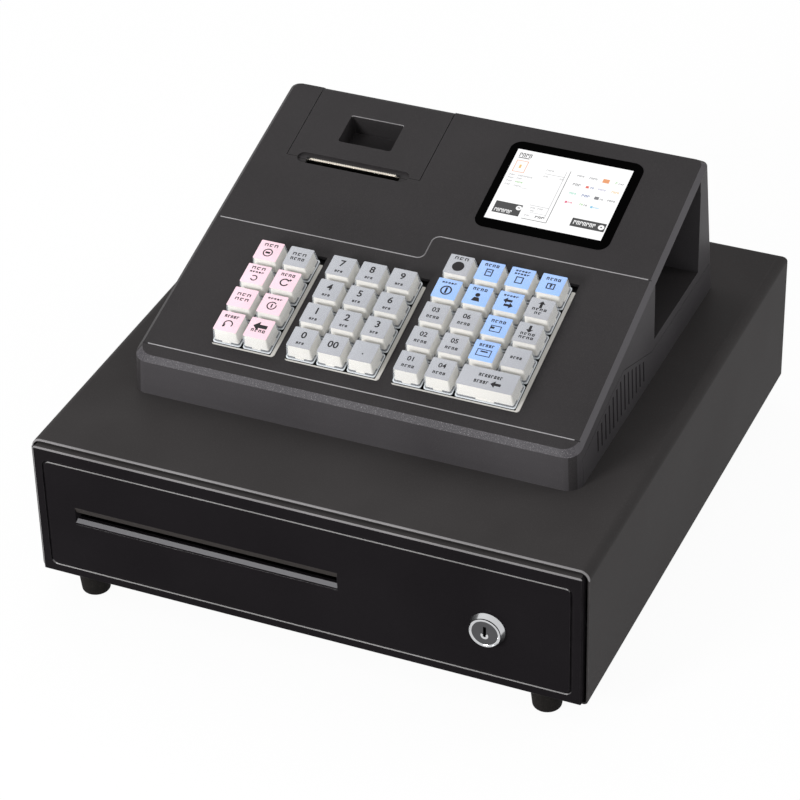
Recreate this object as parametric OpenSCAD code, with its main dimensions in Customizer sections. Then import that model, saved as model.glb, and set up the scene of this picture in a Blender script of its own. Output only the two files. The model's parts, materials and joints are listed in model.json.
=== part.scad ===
// Ticket register: a small cash register with a key field, a display and a
// ticket printer, standing on its own steel cash drawer.
// Millimetres, +Z up, front towards -Y, origin at the middle of the footprint.

/* [Drawer housing] */
// Width of the steel housing
case_w = 340; // [300:1:380]
// Depth of the steel housing
case_d = 350; // [340:1:380]
// Height of the steel housing, without feet
case_h = 91.5; // [88:0.5:110]
// Thickness of the sheet steel
sheet = 1.2; // [0.8:0.1:1.5]
// Outer radius of the bends along the top
bend_r = 6; // [4:0.5:8]
// Outer radius of the bends along the bottom
low_bend_r = 3; // [2.5:0.5:5]
// Height of the rubber feet
foot_h = 16; // [12:0.5:20]
// Diameter of a foot at its top
foot_d = 20; // [18:0.5:22]
// Diameter of a foot at the floor
foot_tip_d = 17; // [12:0.5:17]
// Distance of a foot's centre from the housing's side
foot_in_x = 28; // [27:0.5:32]
// Distance of a foot's centre from the housing's front or back
foot_in_y = 14.5; // [14.5:0.5:40]
// Width of the flanges under the housing's sides
flange_w = 14; // [10:0.5:15]
// How far the housing's floor stands above these flanges
floor_step = 1.6; // [1:0.1:2]

/* [Drawer front] */
// Gap round the fascia
fascia_gap = 1.3; // [0.8:0.1:2]
// How far the fascia stands in front of the housing
fascia_proud = 4; // [3:0.1:5]
// How far the fascia's rim reaches into the housing
rim_in = 4; // [3:0.5:6]
// Distance of the rolled groove from the fascia's sides
groove_in = 5.5; // [4:0.5:8]
// Distance of the rolled groove from the fascia's top and bottom edges
groove_in_z = 7; // [5:0.5:9]
// Width of the rolled groove
groove_w = 1.5; // [1:0.1:2]
// Depth of the rolled groove
groove_deep = 1; // [0.5:0.1:1.5]
// Corner radius of the rolled groove
groove_r = 4.5; // [3:0.5:8]
// Length of the media slot
slot_len = 161.5; // [120:0.5:180]
// Height of the media slot
slot_h = 4.6; // [4.4:0.1:6]
// Width of the bevel round the media slot
slot_bevel = 3.6; // [2:0.1:5]
// Distance of the media slot's end from the housing's left side
slot_side = 28.75; // [24:0.05:40]
// Height of the media slot above the housing's underside
slot_z = 46; // [40:0.5:60]
// Distance of the lock from the housing's right side
lock_side = 57.7; // [45:0.1:70]
// Lock's height above the housing's underside
lock_z = 39.7; // [34:0.1:50]
// Diameter of the lock's head
lock_d = 20; // [19:0.5:24]
// How far the lock stands out of the fascia
lock_out = 5; // [4:0.5:10]
// Diameter of the lock's plug
plug_d = 15.4; // [12:0.1:16]

/* [Drawer tray] */
// Room between the tray and the housing's side, for a runner
tray_side = 13.8; // [13.8:0.1:20]
// Room between the tray and the housing's back, for the latch
tray_back = 48.8; // [48:0.1:60]
// Height of the steel tray
tray_h = 72; // [64:0.5:74]
// Thickness of the runners' steel
rail_t = 1.5; // [1.2:0.1:2]
// Height of the fixed runner channel
rail_h = 16; // [14:0.5:18]
// Width of the fixed runner channel
rail_w = 9; // [8:0.1:9.4]
// Height of the fixed runner above the housing's underside
rail_z = 38; // [30:0.5:44]
// Room behind the till insert
till_back = 5.6; // [3:0.1:12]
// Height of the till insert
till_h = 48; // [40:0.5:50]
// Wall thickness of the till insert
till_t = 2; // [1.6:0.1:2.5]
// Depth of a coin cup, front to back
coin_d = 50; // [40:0.5:56]
// Number of note bays, and of coin cups in a row
bays = 4; // [3:1:5]
// Place of the note clips' rod, as a share of the note bays from their rear
rod_share = 0.45; // [0.38:0.01:0.5]
// Width of a note clip
clip_w = 24; // [16:0.5:30]
// Diameter of the rod that the note clips turn on
rod_d = 4; // [3:0.1:5]

/* [Register case] */
// Width of the register at its foot
reg_w = 277; // [262:0.5:290]
// Depth of the register at its foot
reg_d = 231.5; // [228:0.5:240]
// Distance from the housing's front to the register's front
reg_front = 68.5; // [60:0.5:72]
// Height of the register's front edge above the housing
deck_low = 24; // [23:0.5:30]
// Slope of the top deck in degrees
slope = 16.5; // [15.5:0.1:17.5]
// Draft of the register's front and sides in degrees
draft = 2.2; // [1:0.1:3]
// Lean of the register's back in degrees
back_lean = 3.8; // [2:0.1:5]
// Radius of the register's front corners in plan
reg_r = 9; // [7:0.5:12]
// Radius of the register's rear corners in plan
back_r = 5; // [4:0.5:8]
// Width of the chamfer round the deck
deck_chamfer = 2.7; // [1.5:0.1:3.5]
// Wall thickness of the moulded cases
wall = 2.5; // [2:0.1:3]
// Gap between the upper and the lower case
seam_gap = 0.4; // [0.3:0.05:0.6]
// Height of the side seam at the back
seam_low = 18.3; // [16:0.1:20]
// Height of the side seam at its peak
seam_peak = 34; // [28:0.1:36]
// Number of vent slits in the right side
vents = 13; // [5:1:13]
// Distance from one vent slit to the next
vent_pitch = 6.25; // [5:0.05:6.3]
// Width of a vent slit
vent_w = 2; // [1.4:0.1:2.6]

/* [Keys] */
// Distance from one key to the next
pitch = 19.05; // [18.6:0.05:19.3]
// Width of a key at its skirt
key_w = 17.6; // [17:0.1:18]
// Width of a key at its top
key_top_w = 15; // [14:0.1:15.6]
// Height of a key's top above the deck
key_h = 11; // [9:0.1:12]
// How far a key travels
key_travel = 3; // [2:0.1:3.2]
// Width of a key's square stem
stem_w = 5; // [4:0.1:6]
// Middle of the front key row, up the deck from its front edge
row_1 = 31.4; // [30.5:0.1:33]
// Middle of the left group's first column
left_x = -86; // [-88:0.1:-84.5]
// Middle of the digit group's first column
digit_x = -39.6; // [-41:0.1:-38.5]
// Middle of the right group's first column
right_x = 26.8; // [26:0.1:28]

/* [Printer] */
// Left edge of the printer cover
cover_x0 = -113.2; // [-116:0.1:-111]
// Right edge of the printer cover
cover_x1 = -26.3; // [-28:0.1:-25.5]
// Length of the printer cover, from the deck's rear edge
cover_l = 61; // [58.5:0.1:63]
// Gap round the printer cover
cover_gap = 0.5; // [0.3:0.05:0.8]
// Width of the finger pocket
pocket_w = 34.8; // [28:0.1:38]
// Length of the finger pocket, up the deck
pocket_l = 22.4; // [18:0.1:24]
// Depth of the finger pocket
pocket_deep = 15; // [8:0.5:15.5]
// Length of the tear bar
bar_len = 61; // [58.5:0.1:62]
// Diameter of the paper roll
roll_d = 50; // [40:0.5:50.5]
// Width of the paper roll
roll_w = 57; // [50:0.5:57.5]
// Diameter of the platen roller
platen_d = 10; // [8:0.1:10.2]

/* [Display] */
// Middle of the display, right of the register's centre
disp_x = 59.2; // [57:0.1:61]
// Distance of the display's middle from the deck's rear edge
disp_back = 50.75; // [49:0.05:52]
// Width of the display glass
disp_w = 84; // [76:0.1:87]
// Height of the display glass
disp_l = 71; // [62:0.1:72]
// Corner radius of the display glass
disp_r = 7; // [3:0.5:9]
// Depth of the open bay in the right side
bay_deep = 62; // [40:0.5:66]
// Length of the open bay
bay_long = 77.5; // [60:0.5:78]

/* [Hidden] */
$fn = 48;

// ---- heights and places worked out from the sizes above ----
low_z = foot_h;                          // housing's underside
reg_z = foot_h + case_h;                 // housing's top, where the register stands
mid_y = (case_d - lock_out) / 2;         // middle of the footprint, from the housing's front
half_w = case_w / 2;
in_x = half_w - sheet;                   // inside of the housing's side
floor_z = low_z + floor_step + sheet;    // top of the housing's floor

// Fascia and what passes through it
play = 0.3;                              // clearance between pieces that move past each other
shaft_play = 0.05;                       // radial clearance of a shaft in its hole
fascia_t = fascia_proud - 0.2;            // the fascia ends just before the housing's edge
fascia_x = in_x - fascia_gap;
fascia_z0 = low_z + sheet + play;
fascia_z1 = reg_z - sheet - fascia_gap;
lock_body_r = lock_d / 2 - 1;
slot_mid_z = low_z + slot_z;
slot_x = slot_side + slot_len / 2 - half_w;
lock_x = half_w - lock_side;

// Tray
tray_y0 = fascia_t;
tray_y1 = case_d - sheet - tray_back;
tray_z0 = floor_z + 2.2;
tray_x = in_x - tray_side;
cam_room = 26;                           // space behind the front wall for the lock's cam
till_x = tray_x - sheet - 0.8;
till_y0 = tray_y0 + sheet + cam_room;
till_d = tray_y1 - sheet - till_back - till_y0;
till_z0 = tray_z0 + sheet;
till_floor = 2;
bay_w = (2 * till_x - (bays + 1) * till_t) / bays;
note_y0 = till_y0 + 3 * till_t + 2 * coin_d;
note_y1 = till_y0 + till_d - till_t;
rod_y = note_y1 - rod_share * (note_y1 - note_y0);
rod_z = till_z0 + till_h + 2;
clip_drop = rod_z - till_z0 - till_floor - 3;
clip_pad_r = 3;
clip_reach = rod_y - note_y0 - clip_pad_r - 2.5; // to the pad, clear of the bay's wall
clip_len = sqrt(pow(clip_reach, 2) - pow(clip_drop, 2));

// Runners
rail_x0 = in_x - rail_w;
rail_lo = low_z + rail_z;
rail_y0 = fascia_proud + rim_in + 4;
rail_y1 = case_d - 22;
roller_r = (rail_h - 3 * rail_t - 1.1) / 2;
roller_front_y = rail_y0 + 10;
roller_back_y = tray_y1 - 10;
flange_z = rail_lo + rail_t + 2 * roller_r + 0.1;

// Register case
half_reg = reg_w / 2;
reg_back = reg_front + reg_d;
deck_z = reg_z + deck_low;
rise = tan(slope);
back_h = (deck_low + reg_d * rise) / (1 + tan(back_lean) * rise);
deck_len = (reg_back - tan(back_lean) * back_h - reg_front) / cos(slope);
deck_half = half_reg - deck_chamfer - tan(draft) * deck_low;

// Seam between the lower and the upper case, seen from the side
split_y = reg_r + 0.5;
seam_front = deck_low - 7.2;
shoulder_y = 57.6;
peak_y = 76;
kink_y = 122;
shoulder_z = seam_peak - 3.7;
post_r = 4.5;
post_in = 14;                            // post's distance from the case's sides
post_z = 14;                             // height where the two cases' posts meet
vent_y = 33;                             // first vent slit, behind the register's front

// Grooves in the deck
groove_s = 11.8;
step_x = -0.6;
step_s0 = 115.6;
step_s1 = 134.6;

// Open bay in the right side
bay_y1 = reg_d - 27.5;
bay_y0 = bay_y1 - bay_long;
bay_z = seam_low + 6.2;
bay_wall = 2;
bay_roof = 9.5;                          // solid above the bay, for the display's panel
bay_lip = deck_chamfer + 0.1;            // edge above the bay's mouth
bay_lean = 6;                            // how far the bay's rear edge leans back at its top
bay_x0 = half_reg - bay_deep;
bay_x1 = half_reg - 14;

// Key wells: room left, right, in front of and behind the keys
well_l = 0.8;
well_r = 2.6;
well_f = 1.2;
well_b = 4.1;
well_rad = 2;
tray_top = key_travel + 1;               // depth of the key tray's top under the deck
tray_t = 2;
guide_l = 3;                             // how far a stem guide reaches under the tray
skirt_w0 = 0.6;                          // skirt of a key, above the deck
skirt_w1 = 1.5;
stem_deep = 8.5;
stem_play = 0.2;
rim_short = 6.5;                         // the light rim ends this far before the well's rear edge

// Display
disp_s = deck_len - disp_back;
glass_gap = 0.15;
glass_in = 1.2;                          // depth of the glass's seat in the deck
glass_proud = 0.4;
ledge = 4;                               // ledge that the glass lies on
panel_deep = 7.5;

// Printer
cover_mid = (cover_x0 + cover_x1) / 2;
cover_s = deck_len - cover_l;
barrel_r = 4;
hinge_s = deck_len - 5;
hinge_w = -4;
hinge_pin_r = 1.5;
hinge_pin_l = 6;
pocket_x = cover_mid;
pocket_s = cover_s + 28.8;
pocket_t = 1.6;
paper_s = cover_s - 3.3;                 // front edge of the slot that the ticket comes out of
slot_s = cover_s;                        // middle of the rounded recess at the tear bar
slot_r = 4.3;
slot_half = 32.2;
bar_s = cover_s - 0.8;
bar_t = 1.6;
bar_sink = 1.4;                          // depth of the recess round the tear bar
bar_top = 0.2;
bar_drop = 4.6;
platen_s = cover_s + 6.4;
platen_w = -5 - platen_d / 2;
platen_half = roll_w / 2 + 0.5;
lug_t = 2;
platen_shaft_r = 2;
roll_y = reg_back - 36.5;
roll_z = reg_z + 8 + roll_d / 2;
bucket_r = 27.7;
bucket_t = 2;
bucket_mid = reg_z + 8 + bucket_r - play;
x_end0 = cover_mid - roll_w / 2 - 0.8 - bucket_t;
x_end1 = cover_mid + roll_w / 2 + 0.8 + bucket_t;
head_s0 = cover_s - 8.2;
head_s1 = cover_s + 9.8;
head_w = platen_w - platen_d / 2 - play;
head_z = deck_z + (roll_y - bucket_r - reg_front) * rise + (head_w - 2) / cos(slope);

// Main board with its sockets in the back of the register
board_w = 82;
board_x0 = -25;
board_y0 = reg_back - 81.5;
board_y1 = reg_back - wall - 3;
board_t = 1.6;
board_z = reg_z + 4.5;
port_h = 10;
port_y = reg_back - 1;
port_wall = 1.3;
port_deep = 3.5;                         // depth of a socket's mouth

// Colours of the legends
legend_grey = [0.7, 0.7, 0.71];
legend_pink = [0.98, 0.83, 0.87];
legend_blue = [0.63, 0.77, 0.96];

// ---- shapes that repeat ----

// Moves from the housing's front edge to the footprint's middle
module placed() {
    translate([0, -mid_y, 0]) children();
}

// Frame on the sloping deck: X right, Y up the slope, Z out of the deck
module on_deck() {
    placed() translate([0, reg_front, deck_z]) rotate([slope, 0, 0]) children();
}

// Block between two corners
module block(x, y, z) {
    translate([x[0], y[0], z[0]]) cube([x[1] - x[0], y[1] - y[0], z[1] - z[0]]);
}

// Rectangle with one radius at its low corners and one at its high corners
module plate2d(x, y, rl, rh) {
    rm = max(rl, rh);
    translate([x[0] + rm, y[0]]) square([x[1] - x[0] - 2 * rm, y[1] - y[0]]);
    translate([x[0], y[0] + rl]) square([x[1] - x[0], y[1] - y[0] - rl - rh]);
    for (side = [0, 1]) {
        translate([x[side] + (1 - 2 * side) * rl, y[0] + rl]) circle(r = rl);
        translate([x[side] + (1 - 2 * side) * rh, y[1] - rh]) circle(r = rh);
        for (k = [[rl, y[0]], [rh, y[1] - rh]]) if (k[0] < rm)
            translate([side == 0 ? x[0] + k[0] : x[1] - rm, k[1]])
                square([rm - k[0], k[0]]);
    }
}

// The same outline, extruded between two heights
module slab(x, y, z, r) {
    translate([0, 0, z[0]]) linear_extrude(z[1] - z[0]) plate2d(x, y, r, r);
}

// Outline in the side view (y, z), extruded along X
module prism_x(points, x) {
    translate([x[0], 0, 0]) rotate([90, 0, 90]) linear_extrude(x[1] - x[0]) polygon(points);
}

// Upright outline in the front view (x, z), extruded along Y
module extrude_y(y) {
    translate([0, y[1], 0]) rotate([90, 0, 0]) linear_extrude(y[1] - y[0]) children();
}

// Rod along X
module rod_x(x, r) {
    translate([x[0], 0, 0]) rotate([0, 90, 0]) cylinder(h = x[1] - x[0], r = r);
}

// Rod along Y
module rod_y(y, r) {
    translate([0, y[1], 0]) rotate([90, 0, 0]) cylinder(h = y[1] - y[0], r = r);
}

// ---- drawer housing ----

// Solid of the housing, drawn in by a wall
module housing_solid(t, y0) {
    intersection() {
        extrude_y([y0, case_d - t])
            plate2d([-half_w + t, half_w - t], [low_z + t, reg_z - t],
                low_bend_r - t, bend_r - t);
        housing_side(t, y0);
    }
}

// The same solid in the side view: only the upper rear edge is rounded
module housing_side(t, y0) {
    rotate([90, 0, 90]) translate([0, 0, -half_w]) linear_extrude(case_w) {
        square_to([y0, case_d - t], [low_z + t, reg_z - bend_r]);
        square_to([y0, case_d - bend_r], [low_z + t, reg_z - t]);
        translate([case_d - bend_r, reg_z - bend_r]) circle(r = bend_r - t);
    }
}

module square_to(x, y) {
    translate([x[0], y[0]]) square([x[1] - x[0], y[1] - y[0]]);
}

// Space between the flanges under the housing's floor, grown by a wall, up to a height
module under_floor(t, z) {
    x = half_w - flange_w + t;
    block([-x, x], [-1, case_d + 1], [low_z - 1, z]);
}

module drawer_case() {
    color([0.26, 0.25, 0.25]) placed() difference() {
        housing_solid(0, fascia_proud);
        difference() {
            housing_solid(sheet, -1);
            under_floor(sheet, floor_z);
        }
        under_floor(0, floor_z - sheet);
    }
}

module rubber_feet() {
    edge_r = 2;
    color([0.06, 0.055, 0.05]) placed()
        for (sx = [-1, 1], y = [foot_in_y, case_d - foot_in_y])
            translate([sx * (half_w - foot_in_x), y, 0]) difference() {
                rotate_extrude() {
                    polygon([[0, 0], [foot_tip_d / 2 - edge_r, 0], [foot_tip_d / 2, edge_r],
                        [foot_d / 2, foot_h], [foot_d / 2, foot_h + floor_step],
                        [0, foot_h + floor_step]]);
                    intersection() {
                        translate([foot_tip_d / 2 - edge_r, edge_r]) circle(r = edge_r);
                        square([foot_tip_d / 2, edge_r]);
                    }
                }
                translate([0, 0, -1]) cylinder(h = foot_h / 2, r = 3);
            }
}

module case_runners() {
    color([0.72, 0.73, 0.74]) placed() for (side = [0, 1]) mirror([side, 0, 0]) {
        difference() {
            block([rail_x0, in_x], [rail_y0, rail_y1], [rail_lo, rail_lo + rail_h]);
            block([rail_x0 - 1, in_x - rail_t], [rail_y0 - 1, rail_y1 - rail_t],
                [rail_lo + rail_t, rail_lo + rail_h - rail_t]);
        }
        translate([0, roller_front_y, rail_lo + rail_t + roller_r]) {
            rod_x([rail_x0 + 0.7, in_x - rail_t - 0.6], roller_r - 0.1);
            rod_x([rail_x0 + 0.2, in_x - rail_t / 2], 2);
        }
    }
}

// Coil in its bent frame, with its plunger and the hook that holds the drawer, let go
module latch_solenoid() {
    t = 1.5;
    plate_x = 26;
    plate_d = 36;
    frame_x = [-plate_x, 6];
    frame_w = 24;
    frame_h = 26;
    coil_r = 10.5;
    hook_x = [15, 17];
    pivot = [24, 10];
    translate([0, -mid_y + tray_y1 + 6, floor_z]) {
        color([0.62, 0.6, 0.5]) {
            block([-plate_x, plate_x], [0, plate_d], [0, t]);
            for (x = [frame_x[0], frame_x[1] - t])
                block([x, x + t], [0, frame_w], [0, frame_h]);
            block(frame_x, [0, frame_w], [frame_h - t, frame_h]);
            // Ear and pin that the hook turns on
            block([hook_x[1] + 1.5, hook_x[1] + 3], [pivot[0] - 5, pivot[0] + 5], [0, pivot[1] + 5]);
            translate([0, pivot[0], pivot[1]]) rod_x([hook_x[0] - 1, hook_x[1] + 2], 2);
            // Hook
            block(hook_x, [-3, pivot[0] + 4], [pivot[1] - 4, pivot[1] + 4]);
            block(hook_x, [-3, 1], [pivot[1] - 4, pivot[1] + 15]);
        }
        translate([0, frame_w / 2, frame_h / 2]) {
            color([0.45, 0.2, 0.08]) rod_x([frame_x[0] + t, frame_x[1] - t], coil_r);
            color([0.7, 0.7, 0.72]) rod_x([frame_x[1] - t, hook_x[0] + 1], 3.2);
        }
    }
}

// ---- drawer ----

// Angle on the tray's back that the latch's hook takes hold of
module tray_catch() {
    x = [10, 22];
    z = tray_z0 + 29;
    t = 2;
    color([0.7, 0.7, 0.72]) {
        block(x, [tray_y1 - 0.5, tray_y1 + t], [z, z + 18]);
        block(x, [tray_y1, tray_y1 + 12], [z - t, z]);
    }
}

module drawer_box() {
    z1 = tray_z0 + tray_h;
    color([0.4, 0.4, 0.41]) placed() {
        difference() {
            block([-tray_x, tray_x], [tray_y0, tray_y1], [tray_z0, z1]);
            block([-tray_x + sheet, tray_x - sheet],
                [tray_y0 + sheet, tray_y1 - sheet], [tray_z0 + sheet, z1 + 1]);
            block([slot_x - slot_len / 2 - 2, slot_x + slot_len / 2 + 2],
                [tray_y0 - 1, tray_y0 + sheet + 1],
                [slot_mid_z - slot_h / 2 - 2, slot_mid_z + slot_h / 2 + 2]);
            translate([lock_x, 0, low_z + lock_z])
                rod_y([tray_y0 - 1, tray_y0 + sheet + 1], lock_body_r + play);
        }
        tray_catch();
        for (side = [0, 1]) mirror([side, 0, 0]) {
            block([tray_x - 0.5, in_x - rail_t - 1], [rail_y0, tray_y1],
                [flange_z, flange_z + rail_t]);
            translate([0, roller_back_y, rail_lo + rail_t + roller_r]) {
                rod_x([tray_x - 0.5, in_x - rail_t - 0.6], 2);
                rod_x([rail_x0 + 0.7, in_x - rail_t - 0.6], roller_r - 0.15);
            }
        }
    }
}

// Groove that runs round the fascia
module fascia_groove() {
    x = fascia_x - groove_in;
    z0 = fascia_z0 + groove_in_z - 1.5;
    z1 = fascia_z1 - groove_in_z - 0.7;
    extrude_y([-1, groove_deep]) difference() {
        plate2d([-x, x], [z0, z1], groove_r, groove_r);
        plate2d([-x + groove_w, x - groove_w], [z0 + groove_w, z1 - groove_w],
            groove_r - groove_w, groove_r - groove_w);
    }
}

// Bevelled mouth of the media slot: a wedge in the side view, cut by one in the plan
module slot_mouth() {
    deep = 3;
    half = slot_len / 2;
    hh = slot_h / 2;
    intersection() {
        prism_x([[-0.01, slot_mid_z - hh - slot_bevel], [-0.01, slot_mid_z + hh + slot_bevel],
            [deep, slot_mid_z + hh], [deep, slot_mid_z - hh]], [slot_x - 200, slot_x + 200]);
        translate([slot_x, 0, 0]) linear_extrude(reg_z)
            polygon([[-half - slot_bevel / 2, -0.01], [half + slot_bevel / 2, -0.01],
                [half, deep], [-half, deep]]);
    }
    block([slot_x - half, slot_x + half], [deep - 0.01, fascia_t + 1],
        [slot_mid_z - hh, slot_mid_z + hh]);
}

// Plate whose front edges are broken by a chamfer
module fascia_plate() {
    edge = 0.8;
    intersection() {
        extrude_y([0, fascia_t])
            plate2d([-fascia_x, fascia_x], [fascia_z0, fascia_z1], 2, 2);
        prism_x([[edge, fascia_z0], [0, fascia_z0 + edge], [0, fascia_z1 - edge], [edge, fascia_z1],
            [fascia_t, fascia_z1], [fascia_t, fascia_z0]], [-fascia_x, fascia_x]);
        linear_extrude(reg_z) polygon([[edge - fascia_x, 0], [-fascia_x, edge],
            [-fascia_x, fascia_t], [fascia_x, fascia_t], [fascia_x, edge], [fascia_x - edge, 0]]);
    }
}

// Rim behind the plate's top and sides, which reaches into the housing
module fascia_rim() {
    difference() {
        extrude_y([fascia_t - 0.5, fascia_proud + rim_in])
            plate2d([-fascia_x, fascia_x], [floor_z + play, fascia_z1], 0.5, 2);
        extrude_y([fascia_t - 1, fascia_proud + rim_in + 1])
            plate2d([sheet - fascia_x, fascia_x - sheet], [low_z, fascia_z1 - sheet], 0.4, 0.8);
    }
}

module drawer_fascia() {
    color([0.12, 0.12, 0.13]) placed() difference() {
        union() {
            fascia_plate();
            fascia_rim();
        }
        fascia_groove();
        slot_mouth();
        translate([lock_x, 0, low_z + lock_z]) rod_y([-1, fascia_t + 1], lock_body_r + play);
    }
}

// Coin cup with a scooped floor, so that a finger can slide the coins out
module coin_cup(x0, y0) {
    scoop_r = coin_d * 0.6;
    edge = scoop_r - sqrt(pow(scoop_r, 2) - pow(coin_d / 2, 2));
    intersection() {
        block([x0, x0 + bay_w], [y0, y0 + coin_d],
            [till_z0 + till_floor, till_z0 + till_h + 1]);
        union() {
            translate([0, y0 + coin_d / 2, till_z0 + till_floor + scoop_r])
                rod_x([x0, x0 + bay_w], scoop_r);
            block([x0, x0 + bay_w], [y0, y0 + coin_d],
                [till_z0 + till_floor + edge, till_z0 + till_h + 1]);
        }
    }
}

module till_insert() {
    ear_w = till_t;
    ear_l = 12;
    color([0.1, 0.1, 0.11]) placed() difference() {
        union() {
            slab([-till_x, till_x], [till_y0, till_y0 + till_d],
                [till_z0, till_z0 + till_h], 3);
            for (i = [0:bays])
                block([-till_x + i * (bay_w + till_t), -till_x + i * (bay_w + till_t) + ear_w],
                    [rod_y - ear_l / 2, rod_y + ear_l / 2],
                    [till_z0 + till_h - 1, rod_z + rod_d / 2 + 2]);
        }
        for (i = [0:bays - 1]) {
            x0 = -till_x + till_t + i * (bay_w + till_t);
            for (j = [0, 1]) coin_cup(x0, till_y0 + till_t + j * (coin_d + till_t));
            block([x0, x0 + bay_w], [note_y0, note_y1],
                [till_z0 + till_floor, till_z0 + till_h + 1]);
        }
        translate([0, rod_y, rod_z]) rod_x([-till_x - 1, till_x + 1], rod_d / 2 + shaft_play);
    }
}

// One sprung arm with its rounded pad, seen from the side
module clip_arm(x) {
    t = 1.6;
    bend = [rod_y - clip_len * 0.45, rod_z - clip_drop * 0.3];
    tip = [rod_y - clip_len, rod_z - clip_drop];
    prism_x([[rod_y, rod_z + t], [rod_y, rod_z - t], bend - [0, t], tip - [0, 0.4],
        tip + [0, t], bend], [x - clip_w / 2, x + clip_w / 2]);
    translate([0, rod_y - clip_len, rod_z - clip_drop + clip_pad_r / 2])
        rod_x([x - clip_w / 2 - 4, x + clip_w / 2 + 4], clip_pad_r);
}

module bill_clips() {
    color([0.75, 0.76, 0.78]) placed() {
        for (i = [0:bays - 1]) {
            x = -till_x + till_t + i * (bay_w + till_t) + bay_w / 2;
            clip_arm(x);
            translate([0, rod_y, rod_z]) rod_x([x - clip_w / 2, x + clip_w / 2], rod_d / 2 + 1.2);
        }
        translate([0, rod_y, rod_z]) rod_x([-till_x + 0.5, till_x - 0.5], rod_d / 2);
    }
}

module lock_barrel() {
    body_l = 20;
    rim = 0.8;
    step = 0.7;
    nut_y = tray_y0 + sheet;
    color([0.8, 0.8, 0.82]) placed() translate([lock_x, 0, low_z + lock_z]) difference() {
        union() {
            rod_y([-lock_out / 2, 0], lock_d / 2);
            rod_y([-lock_out + rim, 0], lock_d / 2 - step);
            translate([0, -lock_out + rim, 0]) rotate([90, 0, 0])
                cylinder(h = rim, r1 = lock_d / 2 - step, r2 = lock_d / 2 - step - rim * 0.7);
            rod_y([-0.5, body_l], lock_body_r);
            translate([0, nut_y + 4, 0]) rotate([90, 0, 0])
                cylinder(h = 4, r = lock_body_r + 4.5, $fn = 6);
        }
        rod_y([-lock_out - 1, body_l + 1], plug_d / 2 + shaft_play);
    }
}

module lock_plug() {
    tail_y = 24;
    cam_l = 20;
    color([0.35, 0.35, 0.36]) placed() translate([lock_x, 0, low_z + lock_z]) {
        difference() {
            rod_y([-lock_out + 0.6, tail_y - 2.5], plug_d / 2);
            block([-0.9, 0.9], [-lock_out, -lock_out + 9], [-3.6, 4.2]);
        }
        rod_y([tail_y - 3, tail_y + 2], 4);
        difference() {
            extrude_y([tail_y - 2, tail_y]) plate2d([-6, 6], [-cam_l, 6], 5, 5.9);
            translate([0, 0, -cam_l + 6]) rod_y([tail_y - 3, tail_y + 1], 2);
        }
    }
}

// ---- register case ----

// Height above the housing of a plane parallel to the deck, at a distance behind the front
function deck_at(y, w) = deck_low + y * rise + w / cos(slope);

// Where such a plane meets the front and the back of the case, up the deck
function front_s(w) = (tan(draft) * deck_low + w * (sin(slope) + tan(draft) * cos(slope)))
    / (cos(slope) - tan(draft) * sin(slope));
function back_s(w) = (reg_d - tan(back_lean) * deck_low
    + w * (sin(slope) - tan(back_lean) * cos(slope)))
    / (cos(slope) + tan(back_lean) * sin(slope));

// Four thin discs at the corners of the case, on a plane parallel to the deck
module deck_discs(w, inset, t) {
    r = [reg_r - t, back_r - t];
    s = [front_s(w) + inset + r[0], back_s(w) - inset - r[1]];
    for (k = [0, 1], side = [-1, 1]) {
        z = deck_low + s[k] * sin(slope) + w * cos(slope);
        translate([side * (half_reg - tan(draft) * z - inset - r[k]), s[k], w])
            cylinder(h = 0.01, r = r[k], $fn = 32);
    }
}

// Solid of the whole register case, drawn in by a wall, down to a height above the housing
module register_solid(t, z0) {
    hull() {
        on_deck() {
            translate([0, 0, -0.01 - t]) deck_discs(0, deck_chamfer, t);
            deck_discs(-deck_chamfer - t * 0.6, t, t);
        }
        placed() for (side = [-1, 1], k = [[reg_front + reg_r, reg_r], [reg_back - back_r, back_r]])
            translate([side * (half_reg - k[1]), k[0], reg_z + z0])
                cylinder(h = 0.01, r = k[1] - t, $fn = 32);
    }
}

// What lies under the seam: all of the lower case behind the front skirt
module below_seam(gap) {
    points = [[split_y - gap, -1], [split_y - gap, seam_front + gap],
        [shoulder_y, shoulder_z + gap], [peak_y, seam_peak + gap],
        [kink_y, seam_low + gap], [reg_d + 5, seam_low + gap], [reg_d + 5, -1]];
    placed() translate([0, reg_front, reg_z]) prism_x(points, [-half_reg - 5, half_reg + 5]);
}

// Height of the seam at a distance behind the front
function seam_at(y) = y < shoulder_y
    ? seam_front + (shoulder_z - seam_front) * (y - split_y) / (shoulder_y - split_y)
    : y < peak_y ? shoulder_z + (seam_peak - shoulder_z) * (y - shoulder_y) / (peak_y - shoulder_y)
    : seam_peak + (seam_low - seam_peak) * (y - peak_y) / (kink_y - peak_y);

// Screw posts of the lower case, and those that stand on them under the deck
module lower_posts() {
    placed() for (side = [-1, 1], y = [post_in, reg_d - post_in])
        translate([side * (half_reg - post_in), reg_front + y, reg_z + wall - 0.5])
            cylinder(h = post_z - wall + 0.5, r = post_r);
}

module upper_posts() {
    placed() for (side = [-1, 1], y = [post_in, reg_d - post_in])
        translate([side * (half_reg - post_in), reg_front + y, reg_z + post_z])
            cylinder(h = deck_at(y, -wall / 2) - post_z, r = post_r);
}

module vent_slits() {
    under = 2.8;
    foot = 6.5;
    placed() for (i = [0:vents - 1]) {
        y = vent_y + i * vent_pitch;
        for (side = [0, 1]) mirror([side, 0, 0])
            block([half_reg - 2 * wall, half_reg + 1],
                [reg_front + y - vent_w / 2, reg_front + y + vent_w / 2],
                [reg_z + foot, reg_z + seam_at(y) - under]);
    }
}

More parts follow.
